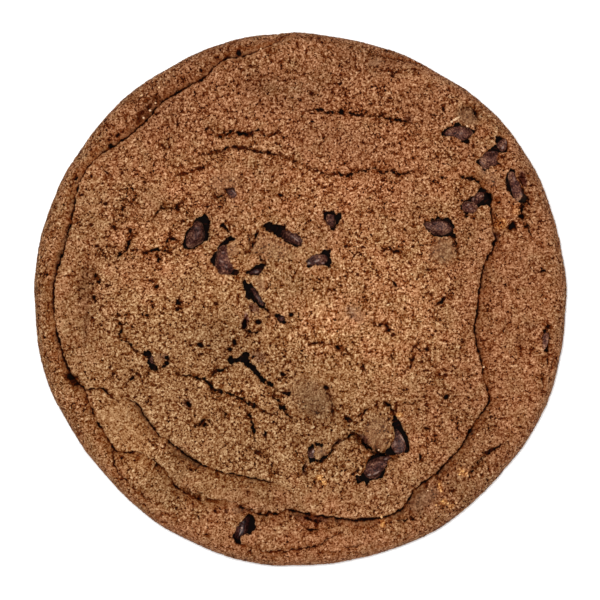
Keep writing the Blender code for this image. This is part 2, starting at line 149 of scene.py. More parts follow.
# Cracks: half width, depth, and the points that each runs through
CRACKS = [
    (0.3, 0.9, [(-18.6, 31.4), (-16.4, 31.8), (-15.7, 30.9), (-12.6, 31.4), (-9.5, 30.9),
        (-7.8, 31.6), (-6.4, 30.7), (-3.9, 31.6)]),
    (0.32, 0.9, [(12.6, 46.8), (14.4, 46.2), (17, 45.4), (19.3, 45.1), (22.1, 44.3), (25.8, 42.5)]),
    (0.23, 0.5, [(-24.3, 22.8), (-18.5, 24.6), (-16.9, 25.4)]),
    (0.24, 0.7, [(-19.9, 26.5), (-17.4, 27.3), (-14.2, 28), (-12.7, 28.6), (-8.6, 27.8),
        (-5.6, 27.4), (-0.7, 25.9)]),
    (0.25, 0.8, [(0.3, 35.2), (3.9, 35.4), (5.3, 35.1), (8.6, 35.1), (10.6, 34.7), (13.9, 34.3)]),
    (0.25, 0.7, [(-27.5, 14.9), (-26.4, 16.6), (-25.7, 17.9)]),
    (0.25, 0.7, [(-27.5, 15.3), (-25.7, 17.1), (-23.6, 17.1), (-21.7, 18.4)]),
    (0.29, 0.9, [(-32.6, 13.9), (-31.5, 12.9), (-31.3, 11.7), (-32.1, 10.6), (-32.4, 9.3),
        (-33.9, 8.3), (-34.4, 7)]),
    (0.25, 0.6, [(-35.2, 14.1), (-34.1, 12.8)]),
    (0.23, 0.6, [(-38.4, 6.1), (-38.2, 4.8), (-37.5, 3.8)]),
    (0.25, 0.6, [(-36.7, 24.3), (-35.6, 22.9)]),
    (0.28, 0.8, [(-34.8, -3.5), (-33, -4.8), (-33.7, -6.5), (-33, -7.2), (-32, -8.1), (-30.7, -9.6),
        (-29, -10)]),
    (0.25, 0.7, [(-31.8, -12.8), (-30.7, -14), (-32.2, -15.1), (-32.4, -16.4)]),
    (0.23, 0.6, [(-29, -14), (-27.7, -13)]),
    (0.25, 0.7, [(-35.6, -11.7), (-35.2, -14.3), (-36, -14.9)]),
    (0.32, 1, [(-24, -12.6), (-22.3, -14), (-20.6, -14.1), (-19.3, -14.7), (-18.2, -14.8),
        (-16.9, -15.3), (-16.2, -16.7), (-14.8, -17), (-12.9, -17.7), (-11.4, -18.1),
        (-10.3, -18.9), (-8.7, -19.7), (-6.3, -21), (-4.6, -21.6)]),
    (0.25, 0.6, [(1.9, -8.1), (3.7, -8.1), (6.4, -8.5), (8.4, -9.3), (9.9, -10.8)]),
    (0.25, 0.7, [(13.1, -3.8), (14.8, -4.8), (15.7, -4.4), (16.5, -5.7), (17.8, -6.6)]),
    (0.26, 0.6, [(22.7, -6.8), (21, -9.6), (20.8, -11.7), (19.7, -13.2), (18.7, -14.1)]),
    (0.23, 0.6, [(16.7, -10.6), (17.8, -11.3)]),
    (0.25, 0.6, [(22.5, -9.3), (24.3, -9.1)]),
    (0.22, 0.4, [(24.2, -10.4), (24.2, -11.8)]),
    (0.25, 0.7, [(11.4, -11.7), (12.2, -13.4)]),
    (0.25, 0.6, [(12.9, -14.9), (13.9, -16.2)]),
    (0.25, 0.6, [(10.7, -22), (11.6, -21.1), (13.3, -20.3)]),
    (0.3, 0.8, [(15.2, 9), (16.4, 9.8), (17.4, 9), (18.7, 8.9), (19.7, 8)]),
    (0.23, 0.5, [(22.5, 5.7), (25.8, 5.7)]),
    (0.23, 0.5, [(23, 1.2), (25.1, 1.2)]),
    (0.26, 0.7, [(44, 5.4), (45.3, 5.3), (46.8, 4.9)]),
    (0.23, 0.5, [(23.4, 39.4), (25.3, 40.6)]),
    (0.23, 0.5, [(1.7, 39.2), (2.6, 38.1)]),
    (0.3, 0.8, [(39.3, -26.3), (35.4, -28.4), (32.2, -31.9), (31.1, -33.8)]),
    (0.28, 0.8, [(-34.7, -27.6), (-35, -30.6), (-33.3, -33.4), (-30.8, -35.4)]),
    (0.38, 0.9, [(-29.8, -36.1), (-29, -37)]),
    (0.25, 0.7, [(-39.9, -16.8), (-36.9, -16.6), (-35.4, -17.7), (-34.1, -19)]),
    (0.2, 0.3, [(-14.2, 14.5), (-12.7, 14.1)]),
    (0.25, 0.7, [(-6, -1.9), (-5.7, -2.8), (-6.2, -3.1)]),
    (0.23, 0.5, [(-10, -47.9), (-9.2, -46.6), (-10.1, -45.6)]),
    (0.3, 0.8, [(-19.1, -40.2), (-18.6, -41.1)]),
    (0.23, 0.5, [(-10.1, -35.7), (-9.6, -36.6)]),
    (0.25, 0.8, [(13.7, 34.3), (15.5, 34.2), (17.1, 33.6), (19, 33.5), (20.3, 33.3), (22, 31.9)]),
    (0.26, 0.7, [(20.2, 34.3), (20.4, 33)]),
    (0.28, 0.8, [(15, 35.3), (15.4, 34.1)]),
    (0.26, 0.7, [(-1.5, 25.8), (-0.1, 25.8)]),
    (0.27, 0.8, [(1.2, 25), (3.6, 24), (5.1, 23.4), (7.1, 23.6), (8.9, 23.2), (9.9, 23.8),
        (12, 24.1), (14, 24.6), (15.1, 23.8), (17.2, 24.1), (18.7, 23.3), (19.9, 23.7),
        (20.8, 24.2), (22.9, 24)]),
    (0.36, 0.9, [(8.6, 23.3), (9.9, 23.7), (11.2, 24.1)]),
    (0.36, 0.9, [(12.9, 24.5), (14.1, 24.6), (15, 24)]),
    (0.36, 0.9, [(17.9, 23.4), (19.6, 23.3)]),
    (0.34, 0.9, [(25.9, 23), (26.9, 23)]),
    (0.34, 1, [(29.8, 23.4), (30.6, 22.8), (31.9, 22.6), (32.7, 22.1), (33.5, 21.6)]),
    (0.25, 0.7, [(24.9, -1.4), (26.2, -0.3), (27.9, 0.9)]),
    (0.32, 0.9, [(17, 3.8), (17.8, 3), (18.9, 2.2)]),
    (0.3, 0.8, [(41.4, 20.7), (42.6, 19.2), (43, 17.6)]),
    (0.26, 0.7, [(41.9, 15.2), (42.6, 13.6), (43.3, 12.2)]),
    (0.3, 0.9, [(33.3, 21.8), (34, 20.9), (35.2, 20.2)]),
    (0.24, 0.6, [(-26.5, 28.2), (-25.2, 28.5), (-23.9, 28.6)]),
    (0.25, 0.8, [(-31.7, 9.2), (-29.9, 9.3), (-28.2, 8.9), (-26.8, 9.4), (-25.1, 9.2), (-23.6, 9.8),
        (-22.3, 10.4)]),
    (0.24, 0.7, [(-22.9, 11), (-24.2, 11.9), (-24.4, 13.3)]),
    (0.24, 0.7, [(-24.4, 12.5), (-24.7, 10.8), (-25.4, 9.6)]),
    (0.26, 0.7, [(-26.6, 8.7), (-26.1, 6.6)]),
    (0.26, 0.8, [(-23, 0.4), (-22.6, -0.7), (-22, -1.7)]),
    (0.26, 0.7, [(-13.1, -12), (-14, -12.8), (-15.4, -13.2), (-16.4, -13.7), (-16.6, -14.9)]),
    (0.3, 1, [(-4.8, -16.6), (-4.9, -17.4), (-4.1, -18.9), (-3.2, -20.2), (-2.2, -21.4),
        (-0.9, -22.6)]),
    (0.26, 0.8, [(-14.4, -20.4), (-14, -21.5), (-15.3, -22.2)]),
    (0.36, 1.1, [(-19.4, -23.5), (-18.1, -23.1), (-17.3, -22.5), (-16.6, -23.3)]),
    (0.34, 1, [(-10.3, -20.3), (-9.3, -21.8), (-8.9, -23.2), (-8.7, -24.8), (-8.1, -26.6)]),
    (0.28, 0.8, [(-6.8, -24.3), (-6.3, -26)]),
    (0.24, 0.6, [(-10.2, -27.3), (-8.5, -28.1), (-7, -28.8), (-5.5, -29.2)]),
    (0.26, 0.7, [(15.5, -19.3), (17, -19.8), (17.4, -20.8)]),
    (0.24, 0.6, [(18.2, -19.6), (19.9, -19.3), (21.7, -19.2)]),
    (0.3, 0.8, [(18.3, -41), (19.6, -41.2), (20.4, -40.8), (21.9, -41.3)]),
    (0.26, 0.7, [(-8.2, -46.7), (-5.2, -47.2), (-1.9, -46.9), (2, -46.2), (3.9, -45.6),
        (5.2, -44.7), (7.3, -43.7), (8.2, -43.2)]),
    (0.3, 0.8, [(8.7, -46.3), (10, -46.4), (11.6, -46)]),
    (0.26, 0.6, [(0.5, -43.2), (2.2, -43.2), (3.9, -42.6)]),
    (0.32, 1, [(28.6, 12), (29, 10.6), (29.4, 8.8)]),
    (0.3, 0.9, [(40.9, 22.9), (41.7, 21.1), (42.3, 19.5), (42.9, 18.2)]),
    (0.36, 1.1, [(42, 18.5), (41.5, 17.6), (41.4, 15.6)]),
    (0.26, 0.8, [(42, 14.9), (42.6, 13.5), (43.2, 12.1)]),
    (0.3, 0.9, [(2.6, -30.2), (4.4, -29.7), (5.4, -28.7), (6.2, -27.6), (6.9, -26.9)]),
    (0.42, 1.1, [(6.3, -27.2), (7.1, -26.5), (8, -26.2)]),
    (0.28, 0.9, [(7.8, -26.3), (8.5, -26), (9.2, -25.5), (10, -25), (10.6, -24.9), (11.2, -25.3)]),
    (0.75, 2, [(9.8, -24.8), (10.6, -25.3), (11.8, -26.8), (13.6, -28.2), (14.8, -28.8),
        (16.2, -29.2), (18, -29.4)]),
    (0.75, 1.8, [(12, -27), (13.6, -28.2), (14.9, -28.9), (16.2, -28.9)]),
    (0.3, 1, [(-7, 13.7), (-7.8, 13), (-8.5, 11.4), (-9, 10.4), (-9.1, 9.4), (-10.3, 8.8)]),
    (0.3, 0.9, [(0.3, -42.2), (1.8, -42.8), (3.4, -42.9)]),
    (0.3, 0.9, [(0.7, -40.6), (2.2, -41.2), (4.2, -41.4)]),
    (0.26, 0.8, [(8.5, -21.3), (9.2, -22.6), (10.6, -22.8)]),
    (0.28, 0.8, [(15.2, -19.1), (16.6, -19.7), (17.3, -20.4), (17.8, -21.6)]),
    (0.24, 0.7, [(5.2, -17.1), (6.3, -20), (7.4, -21.2)]),
    (0.26, 0.8, [(-28.2, -29.8), (-27.3, -30.9), (-26, -31.5)]),
    (0.34, 1, [(0.9, -30.4), (0.7, -31.4), (1, -32.3)]),
    (0.28, 0.8, [(14.8, 46.8), (16.6, 46.5), (18.2, 45.8)]),
    (0.34, 1, [(30.3, 35.5), (30.9, 35.9), (31.8, 36), (32.9, 35.3), (33.2, 33.9)]),
    (0.36, 1.1, [(-16.3, 19.3), (-15.4, 19.2), (-14.6, 19.4), (-13.8, 20.1)]),
    (0.28, 0.9, [(-7.8, 8.2), (-7.1, 7.6), (-6.4, 6.9)]),
    (0.3, 0.9, [(-6.4, -1.7), (-5.9, -2.3)]),
    (0.34, 1, [(-10.3, -5.6), (-9.6, -5.9), (-8.4, -6.1), (-7.3, -5.7)]),
    (0.34, 1, [(47.2, -4.5), (46.4, -4.9), (45.8, -5.8), (45.5, -7), (45.4, -8.6)]),
    (0.3, 0.9, [(47.1, -4.9), (46.8, -6.2), (46.5, -7.6), (46.3, -9.5), (46.4, -11.2)]),
    (0.24, 0.7, [(48.3, -9.6), (47.7, -11.2), (47.1, -12.8), (46.9, -14.9)]),
    (0.24, 0.7, [(45.6, -13.8), (45.4, -15.6), (45.5, -17.6)]),
    (0.28, 0.8, [(22.5, -28.6), (22.7, -29.4), (22.4, -30.4)]),
    (0.3, 0.8, [(5.9, -20.2), (6.6, -21.5)]),
    (0.26, 0.7, [(11.5, -21), (10.3, -22.2)]),
]
# Openings over the chips, and two deep hollows: depth, and the points of the rim
OPENINGS = {
    "hollow_mid": (2.2, [
        (-13.3, -10.5), (-12.9, -10.4), (-12.3, -10.9), (-11.4, -10.7), (-10.9, -10.2),
        (-10.1, -9.7), (-9.6, -10), (-9.6, -10.9), (-9, -11.7), (-8.5, -12.4), (-8, -13.1),
        (-7.4, -13.8), (-6.9, -14.5), (-5.9, -15), (-5.1, -15.7), (-4.3, -16.9), (-5.2, -16.2),
        (-6.4, -15.6), (-7.4, -15), (-8, -14.3), (-8.7, -13.6), (-9.4, -13), (-10.1, -12.2),
        (-11, -11.8), (-12, -11.6), (-13, -11.8), (-13.4, -11.1)]),
    "hollow_west": (1.8, [
        (-28.9, -9.6), (-28.3, -9.4), (-27.7, -10), (-27.4, -11), (-27.1, -11.9), (-26.4, -12.5),
        (-25.7, -12.3), (-25.1, -11.6), (-25.1, -10.6), (-24.7, -10.4), (-24.5, -11.7),
        (-25.1, -12.6), (-26.1, -13), (-27.1, -13.2), (-28.1, -12.7), (-28.6, -11.7),
        (-28.5, -10.7), (-29.2, -10.2)]),
    "chip_almond_west": (2.1, [
        (-17.8, 16.1), (-17, 15.1), (-16.8, 13.6), (-17.1, 11.9), (-17.7, 10.9), (-19, 10.1),
        (-20.2, 9.4), (-21.4, 9.5), (-21.9, 10.2), (-21.7, 11.4), (-21.3, 12.6), (-20.3, 13.8),
        (-19.4, 15), (-18.5, 15.7)]),
    "chip_kidney_west": (1.7, [
        (-12.2, 11.4), (-12.6, 11.6), (-12.9, 12.3), (-13.2, 11.6), (-13.9, 11.3), (-14.8, 10.5),
        (-15.5, 9.5), (-16.4, 8.3), (-16.7, 7.3), (-15.6, 5.8), (-14.3, 4.8), (-12.9, 4.6),
        (-11.5, 4.9), (-11.7, 5.5), (-12.6, 6.1), (-13.1, 7), (-13.6, 8.6), (-13.8, 10.1),
        (-13.1, 10.9)]),
    "chip_crescent_mid": (2, [
        (-6.9, 13.9), (-5.7, 14.5), (-4.6, 14.1), (-3.6, 13.9), (-2.9, 14.3), (-2.4, 13.1),
        (-1.5, 12.6), (-0.7, 12.3), (0.3, 11.5), (0.5, 10.7), (-0.3, 10), (-1.5, 10.2),
        (-2.6, 10.9), (-3.7, 11.5), (-4.8, 12.3), (-5.9, 12.8)]),
    "chip_triangle_mid": (1.5, [
        (-6.3, 7), (-7.3, 6.8), (-8.5, 6.3), (-9.4, 5.7), (-10.3, 5.2), (-9.1, 4.7), (-7.6, 4.9),
        (-7, 5.6), (-6.6, 6.2)]),
    "chip_sliver_mid": (1.8, [
        (-10.6, 3.9), (-9.9, 3.2), (-9, 3.2), (-8.3, 2.1), (-7.6, 0.9), (-7.3, 0), (-6.6, -0.8),
        (-6.3, -1.8), (-7.3, -1.5), (-8.3, -0.6), (-9, 0), (-9.9, 0.2), (-10.3, 1.4),
        (-10.6, 2.6)]),
    "chip_speck_mid": (1.4, [
        (-5.3, -2.2), (-4.2, -2.6), (-3, -3), (-2.7, -4.5), (-3.7, -4.2), (-4.6, -3.2)]),
    "chip_round_mid": (1.6, [
        (4.3, 16.7), (5.3, 16.3), (5.8, 16.8), (6.7, 16.2), (7.5, 16.3), (7.6, 15.1), (7, 14.2),
        (6.2, 12.9), (5.3, 13.8), (4.6, 15)]),
    "chip_glossy_mid": (1.4, [
        (1.1, 7.1), (2.4, 8.3), (3.7, 8.7), (5.1, 9.5), (5.7, 9.5), (5.6, 8.1), (5.9, 7.1),
        (5.4, 6), (4.7, 6.4), (3.9, 6.6), (2.9, 6.5), (1.5, 6.1)]),
    "chip_ne_outer": (1.3, [
        (26.2, 31), (27.1, 32), (28.3, 32.4), (29.4, 33.1), (30.4, 32.8), (31.2, 32.2),
        (32.4, 31.9), (33, 32.6), (33, 31.6), (32.2, 30.8), (31.5, 30.3), (31.4, 29), (30.6, 29.4),
        (29.7, 29.9), (28.7, 30.5), (27.1, 30.6)]),
    "chip_ne_upper_small": (1.2, [
        (36.8, 30.6), (37.5, 30.8), (38.4, 30.5), (39.1, 30.1), (39, 29), (38.7, 27.8),
        (37.5, 27.5), (37, 28.4), (36.6, 29.3)]),
    "chip_ne_lower": (1.3, [
        (35.5, 28.2), (36.5, 29.1), (37.1, 28.3), (37.1, 27.4), (37.1, 26.5), (37.3, 25.6),
        (36.5, 25), (35.3, 24.8), (34.4, 24.1), (33.7, 24.9), (33.1, 25.9), (33.9, 26.6),
        (34.6, 27.5)]),
    "chip_east": (1.5, [
        (23, 14.2), (24.2, 14.7), (24.7, 15.4), (25.1, 14.9), (25.7, 15.6), (26.3, 15.1),
        (27.2, 15.5), (28.1, 14.9), (28.7, 13.9), (28.7, 12.8), (29.5, 12), (28.9, 11.6),
        (28.1, 12), (26.9, 11.8), (25.4, 11.8), (24.4, 12.4), (23.5, 13.3)]),
    "chip_east_grey": (1.5, [
        (33.6, 21), (34.1, 20.8), (34.8, 20.3), (35.6, 19.9), (35.8, 18.3), (35.6, 17.4),
        (34.8, 17.6), (33.5, 17.6), (33, 16.8), (32, 16.2), (30.9, 15.4), (30.6, 16.5),
        (30.1, 17.4), (31.1, 18.7), (32.3, 19.2), (33.1, 20.2)]),
    "chip_almond_east": (1.5, [
        (39.4, 24.6), (40, 24.3), (40.3, 23.2), (40.7, 22.3), (41.2, 21.3), (41.9, 20.2),
        (42.5, 19), (42.1, 18.1), (40.7, 18.3), (39.8, 19.1), (38.9, 20.2), (38.4, 21.5),
        (38.5, 22.9), (38.9, 23.9)]),
    "chip_crescent_south": (1.8, [
        (17.5, -21.5), (18.8, -22.9), (19.4, -24.2), (20.2, -25.9), (20.4, -27.3), (20.2, -28.3),
        (19.2, -28.5), (18, -28.7), (16.5, -28.9), (15.8, -28.2), (16.3, -27.4), (17.2, -26.6),
        (17.7, -25.6), (17.6, -24.4), (17.3, -23.2)]),
    "chip_glossy_south": (1.5, [
        (15.7, -28.7), (16.6, -29.1), (17, -29.8), (16.3, -30.1), (16.2, -31.1), (15.7, -32.2),
        (15.4, -33.3), (14, -33.5), (13.1, -33.8), (12.7, -34.9), (12, -33.9), (10.5, -34.3),
        (10.4, -33.2), (11.9, -32.2), (12.3, -30.9), (13.1, -30), (14.3, -29.1)]),
    "chip_ring_south": (1.3, [
        (4.2, -27.2), (3.1, -26.7), (2, -27.1), (1.5, -27.9), (1.5, -29.2), (1.7, -30.3),
        (2.8, -30.3), (3.5, -30), (2.7, -29.5), (2.6, -28.3), (2.8, -27.5)]),
    "chip_glossy_edge": (1.9, [
        (-9.8, -40), (-9, -40.3), (-8.4, -41.2), (-8.3, -42.3), (-8.5, -43), (-9, -43.4),
        (-9.7, -43.8), (-10.4, -43.9), (-11.1, -44.2), (-11.2, -44.8), (-11, -45.6), (-11.7, -45.9),
        (-12.4, -45.6), (-12.2, -45), (-12.6, -44.1), (-12.1, -43.2), (-11.5, -42.1),
        (-11.1, -41.4), (-10.4, -41), (-10.1, -40.4)]),
    "chip_edge_east": (1.2, [
        (46.8, -6.4), (46.1, -6), (45.7, -7), (45.5, -8.2), (45.7, -9.6), (46.6, -9.7),
        (46.8, -8)]),
    "chip_buried_north": (0.9, [
        (-13.5, 20.9), (-12.7, 20.8), (-12, 20.1), (-11.7, 19.3), (-12.3, 19.2), (-13.1, 19.7),
        (-13.9, 19.8)]),
}
# The section of an opening's wall: where a point starts outside the rim, where it goes, and its
# share of the depth
OPENING_SECTION = [
    (-2, -2, 1), (-0.9, -0.62, 1), (-0.5, -0.14, 0.98), (-0.3, -0.03, 0.85), (-0.12, -0.03, 0.5),
    (0.05, 0.02, 0.13), (0.25, 0.16, 0), (0.6, 0.55, -0.025), (1.2, 1.2, 0), (9, 9, 0),
]
OPENING_REACH = 2.6
# Pits: x, y, length, width, angle, depth
PITS = [
    (-42.6, -14.7, 3.8, 2.1, -32, 1.5), (-11.6, 46.7, 1.1, 1.9, 20, 0.9),
    (-13.7, 45.6, 1.2, 0.8, 20, 0.7), (36.1, 10.6, 1.1, 1.2, 0, 1), (36.6, 12.3, 1.2, 0.9, 40, 0.4),
    (35.8, 8.5, 0.5, 0.8, 0, 0.6), (34.8, 8.2, 0.6, 0.8, 0, 0.5), (35.4, 19.2, 1.2, 1.6, 20, 1),
    (26.6, -31, 1.3, 0.8, 30, 0.9), (46.5, -11.5, 0.7, 1.4, 0, 0.9), (41.8, 17.9, 0.8, 1, 0, 0.7),
    (41.4, 15.6, 1.4, 1.3, 0, 1.2), (39.6, 13.8, 1.8, 1.7, 20, 0.9),
    (-26.8, 2.5, 0.9, 0.8, 10, 0.8), (-18.7, -8.4, 1.6, 1, -10, 1.1),
    (-33.2, 23.7, 0.8, 0.7, 0, 0.6), (-29, 22, 0.8, 0.7, 0, 0.6), (-36.3, 17.9, 0.8, 0.7, 0, 0.6),
    (-39.1, 14, 0.9, 0.7, 0, 0.6), (-36, 2.7, 0.9, 0.7, 0, 0.6), (-22.9, -1.8, 0.9, 0.7, 30, 0.7),
    (-18.9, -2.7, 0.8, 0.7, 0, 0.6), (-12.3, -7.8, 0.9, 1.6, 0, 1), (-13.1, -9.2, 1.1, 0.8, 0, 0.8),
    (-20.6, -19.6, 0.9, 0.7, 0, 0.6), (-15.7, -0.7, 0.9, 0.7, 0, 0.6),
    (4.9, -16.4, 1.3, 0.8, -30, 1), (2.8, -8.1, 1.5, 0.6, 5, 0.9), (7, -9, 1.2, 0.9, -20, 1),
    (-1.6, -2.7, 1, 0.9, 0, 0.7), (-20.9, -19.4, 0.9, 1.6, 25, 0.7), (-42.4, 23, 1, 0.8, 30, 0.8),
    (-12.9, 11.4, 1.2, 1, 0, 1.2), (42, 18.3, 1.2, 0.7, 0, 1), (23.7, -24, 1.2, 0.7, -15, 0.8),
    (27.3, -18.1, 1.3, 0.9, 40, 0.7), (27.2, -14, 0.9, 0.7, 0, 0.6), (30.3, -7.8, 0.9, 0.7, 0, 0.6),
    (11.1, 19.4, 0.9, 0.6, 0, 0.5), (15.5, 22.4, 0.9, 0.6, 0, 0.6), (14.8, 20.3, 0.9, 0.6, 0, 0.5),
    (10.7, 16.4, 0.9, 0.6, 0, 0.5), (12.2, 11.5, 0.9, 0.6, 0, 0.5), (14.4, 11.1, 0.9, 0.6, 0, 0.5),
    (-7.2, -0.9, 0.9, 1, 30, 0.9), (-7.8, -4.1, 1.2, 1.1, 10, 1.1), (15.9, 9.5, 0.9, 0.6, 0, 0.5),
    (-28.5, 37.5, 1.9, 1, 30, 0.45), (-27.3, 38, 1.6, 0.9, -20, 0.4),
    (-28.2, 36.2, 1.7, 0.9, 50, 0.5), (-29.8, 35, 2, 1, 30, 0.5), (-28.5, 34.4, 1.6, 0.8, 0, 0.4),
    (-30.3, 33.5, 1.8, 1, 60, 0.5), (-13.6, 20.5, 1.5, 1.1, -30, 1.1),
    (-34.1, 30.9, 1.2, 0.8, 40, 0.8), (-35.5, 29.1, 1, 0.7, 30, 0.7),
    (-24, 38.1, 1.1, 0.7, 30, 0.7), (-38.2, 4.6, 0.8, 1.2, 10, 0.8), (-37.7, 3.4, 0.9, 0.7, 0, 0.7),
    (-38.5, 0.4, 0.8, 1, 0, 0.7), (-3.2, -13.9, 1.4, 0.8, -35, 1.1),
    (-1.7, -14.5, 0.9, 0.5, 0, 0.5), (-9.9, -15.4, 0.6, 0.6, 0, 0.6),
    (41.6, 22.9, 1.2, 2.2, 10, 0.3), (-10.4, -4.5, 1, 2.6, -8, 0.8),
    (-29.2, -38.5, 0.9, 0.8, 0, 0.7), (12.3, -40.6, 4.2, 0.6, 4, 0.9),
    (-10.6, -46, 1.3, 0.8, 0, 0.5),
]
# Patches of the crust's surface: kind, x, y, length, width, angle, amount
PATCHES = [
    ("film", -5.6, 9.6, 8, 4, -20, 0.45), ("film", 31.4, 34.4, 4.2, 3.4, -10, 0.5),
    ("film", 26.6, 9.2, 4.4, 4.4, -20, 0.65), ("film", 14, 44.4, 3, 1.4, 15, 0.8),
    ("film", -26.6, -10.9, 1.3, 1.9, 0, 0.8), ("film", 3.9, -28.4, 1.6, 2.2, 10, 0.9),
    ("film", -12.6, 9.2, 2, 3, -10, 0.6), ("film", 41.3, 19.6, 1.2, 2.6, 25, 0.8),
    ("film", -11.5, -39.2, 3.2, 1.2, 5, 0.6), ("film", 35.6, 22.8, 4, 2.2, -35, 0.5),
    ("film", 2, -18, 9.5, 6, -35, 0.28), ("film", -7.4, 3, 1.6, 3.2, 25, 0.6),
    ("film", 14.4, -24.7, 4.4, 6.2, -10, 0.5), ("film", 23, -37.2, 6.4, 2.8, 35, 0.45),
    ("film", 10.6, -2.6, 2.4, 4, 30, 0.6), ("film", -14, 21.8, 5, 4, 0, 0.35),
    ("smear", -10.2, -4, 1.3, 3.4, -8, 0.9), ("smear", 41.6, 22.8, 1.5, 2.8, 10, 0.9),
    ("smear", 36.6, 12.1, 2, 1.3, -35, 0.8), ("smear", -12.6, 19.8, 1.8, 1.8, 0, 0.7),
    ("smear", 7, -26.6, 1.9, 1.1, 40, 0.8), ("smear", 12.2, -25.7, 2.6, 1.1, -42, 0.8),
    ("smear", 0.8, -31.5, 1, 2.6, -10, 0.7), ("smear", 2.5, -40.9, 6.6, 1.5, -5, 0.6),
    ("smear", -21, -19.3, 1.4, 2.2, 30, 0.6), ("smear", -7.6, -10.6, 3, 2.2, -30, 0.5),
    ("smear", -8.6, -1.6, 2.2, 1.6, -40, 0.7), ("smear", 9.6, -2.6, 1.6, 3.2, 35, 0.4),
    ("smear", 20.2, 33.9, 1.6, 1.6, 0, 0.5), ("smear", -25.2, -10.6, 1, 1.4, 0, 0.6),
    ("smear", 34.2, 24.2, 1.6, 1, -40, 0.4), ("smear", 43, -5, 3, 2, 0, 0.2),
    ("amber", 3.7, -33.2, 1.4, 1.1, 0, 0.7), ("amber", 4.4, -34.1, 1.1, 0.9, 0, 0.5),
    ("amber", 30.4, -32.2, 2, 1.3, -20, 0.5), ("amber", 26.2, -34.9, 1.1, 2, 20, 0.6),
    ("amber", 26.8, -37.8, 1.7, 1.2, 0, 0.5), ("amber", 28.4, -38.6, 1.2, 0.9, 0, 0.5),
    ("amber", 15.4, -41.6, 1.1, 1.6, 0, 0.7), ("amber", 37.6, 14.2, 2.4, 2, 0, 0.5),
    ("amber", 18.6, -21.4, 1.2, 0.9, 0, 0.7), ("amber", 40.6, 17, 2, 2.4, 0, 0.25),
    ("brown", -39.9, -4.5, 1.3, 9, -5, 0.7), ("brown", -39.8, 2.6, 3.4, 8.5, -6, 0.75),
    ("brown", -9.4, 39.2, 3, 1.5, 0, 0.6), ("brown", 41.2, -7.6, 2.5, 2, 0, 0.6),
    ("brown", -28.2, 35.8, 6, 2.2, 45, 0.6), ("brown", -7.6, 40.8, 7, 5, 0, 0.4),
]
# Broad areas: x, y, length, width, angle, how much calmer the grain is, how much darker the
# crust is (partly its own browning, partly painted shade of broad swells) and how much redder
# it is
REGIONS = [
    (0, 42, 100, 26, 0, 0, 0.09, 0.95), (0, 26, 90, 24, 0, 0, 0.02, 0.54),
    (38, 24, 18, 22, -40, 0.1, 0.04, 0.41), (42, -6, 22, 62, 0, 0.25, 0.04, 0.74),
    (44, 12, 12, 24, 0, 0, 0.06, 0.41), (28, -28, 24, 20, 40, 0.15, 0.1, 0.41),
    (-4, -46, 66, 14, 0, 0.4, 0.08, 0.81), (-35, -35, 40, 12, -45, 0.45, 0, 0.3),
    (-46, 6, 10, 60, 0, 0, -0.03, 0), (-14, -17, 64, 44, -15, 0, -0.03, -1.2),
    (5, -17, 13, 12, -30, 0.4, 0, -0.4), (-4, 6, 22, 16, -30, 0.15, -0.06, -0.41),
    (16, -2, 30, 30, 20, 0, -0.2, 0), (-24, 4, 26, 20, 0, 0, -0.08, 0),
    (-42, -4, 8, 34, 6, 0.4, 0.1, 0), (-33, -24, 8, 18, 32, 0.65, -0.06, -0.27),
    (-12, -36, 32, 7, -8, 0.55, 0, -0.14), (-26, -35, 10, 9, 0, 0.3, 0.06, -0.41),
    (6, -37, 26, 6, 5, 0.4, 0.06, 0.14), (26, -36, 12, 10, 40, 0.2, 0.1, 0.27),
    (-27, 36, 26, 7, 42, 0, 0.14, 0.54), (0, -5, 16, 14, 0, 0, -0.1, 0.3),
    (8, 14, 44, 24, 0, 0, -0.08, 0), (8, 29, 18, 11, 0, 0, 0.14, 0.3),
    (0, 43, 26, 11, 0, 0, 0.08, -0.3), (24, 36, 12, 8, -30, 0, 0.12, 0.4),
    (30, 28, 10, 8, 0, 0, 0.1, 0), (4, 13, 10, 9, 0, 0, 0.15, 0.2), (33, 5, 13, 26, 0, 0, 0.1, 0.5),
    (-13, -8, 12, 15, 0, 0, 0.12, -0.3), (4, -26, 13, 16, 0, 0, 0.12, -0.2),
    (-8, -38, 24, 7, -5, 0, 0.1, 0.4), (33, -13, 10, 11, 0, 0, 0.08, 0.4),
    (-21, 21, 11, 9, 0, 0, -0.14, 0), (-29, 12, 12, 9, 0, 0, -0.12, 0.3),
    (4, -4, 9, 9, 0, 0, -0.1, 0.3), (-31, -28, 9, 11, 30, 0, -0.1, -0.9),
    (3, -18.6, 9, 7, -40, 0, 0.34, 1), (26.6, 9.2, 6, 6, 0, 0.2, 0.14, 0),
    (14, -25, 7, 8, 0, 0, 0.1, -0.3), (22.5, -37.5, 8, 5, 35, 0, 0.16, 0),
    (14, 45, 18, 6, -15, 0, 0.16, 0), (31.4, 34.4, 5, 5, 0, 0.1, 0.28, -0.4),
    (-18, -24, 20, 18, 0, 0, 0.06, 0), (-20, 3, 22, 14, 0, 0, -0.06, 0),
    (-29, 5, 10, 9, 0, 0, 0.04, 0.6), (16, 24, 26, 16, 0, 0, 0, 0.5),
    (-10, 28, 20, 10, 0, 0, 0, -0.4), (-16, 27, 16, 12, 0, 0, -0.08, 0),
    (-4, 38, 14, 8, 0, 0, 0.1, 0), (-4, -37, 14, 6, 0, 0.2, 0.06, 0),
]


def smooth_step(low, high, value):
    """0 below low and 1 above high, with an S-shaped climb between."""
    share = np.clip((value - low) / (high - low), 0, 1)
    return share * share * (3 - 2 * share)


def oval(x, y, length, width, angle):
    """Distance from the middle of an ellipse turned by an angle, 1 being its rim."""
    turn = math.radians(angle)
    along = (x * math.cos(turn) + y * math.sin(turn)) / (length / 2)
    across = (y * math.cos(turn) - x * math.sin(turn)) / (width / 2)
    return np.hypot(along, across)


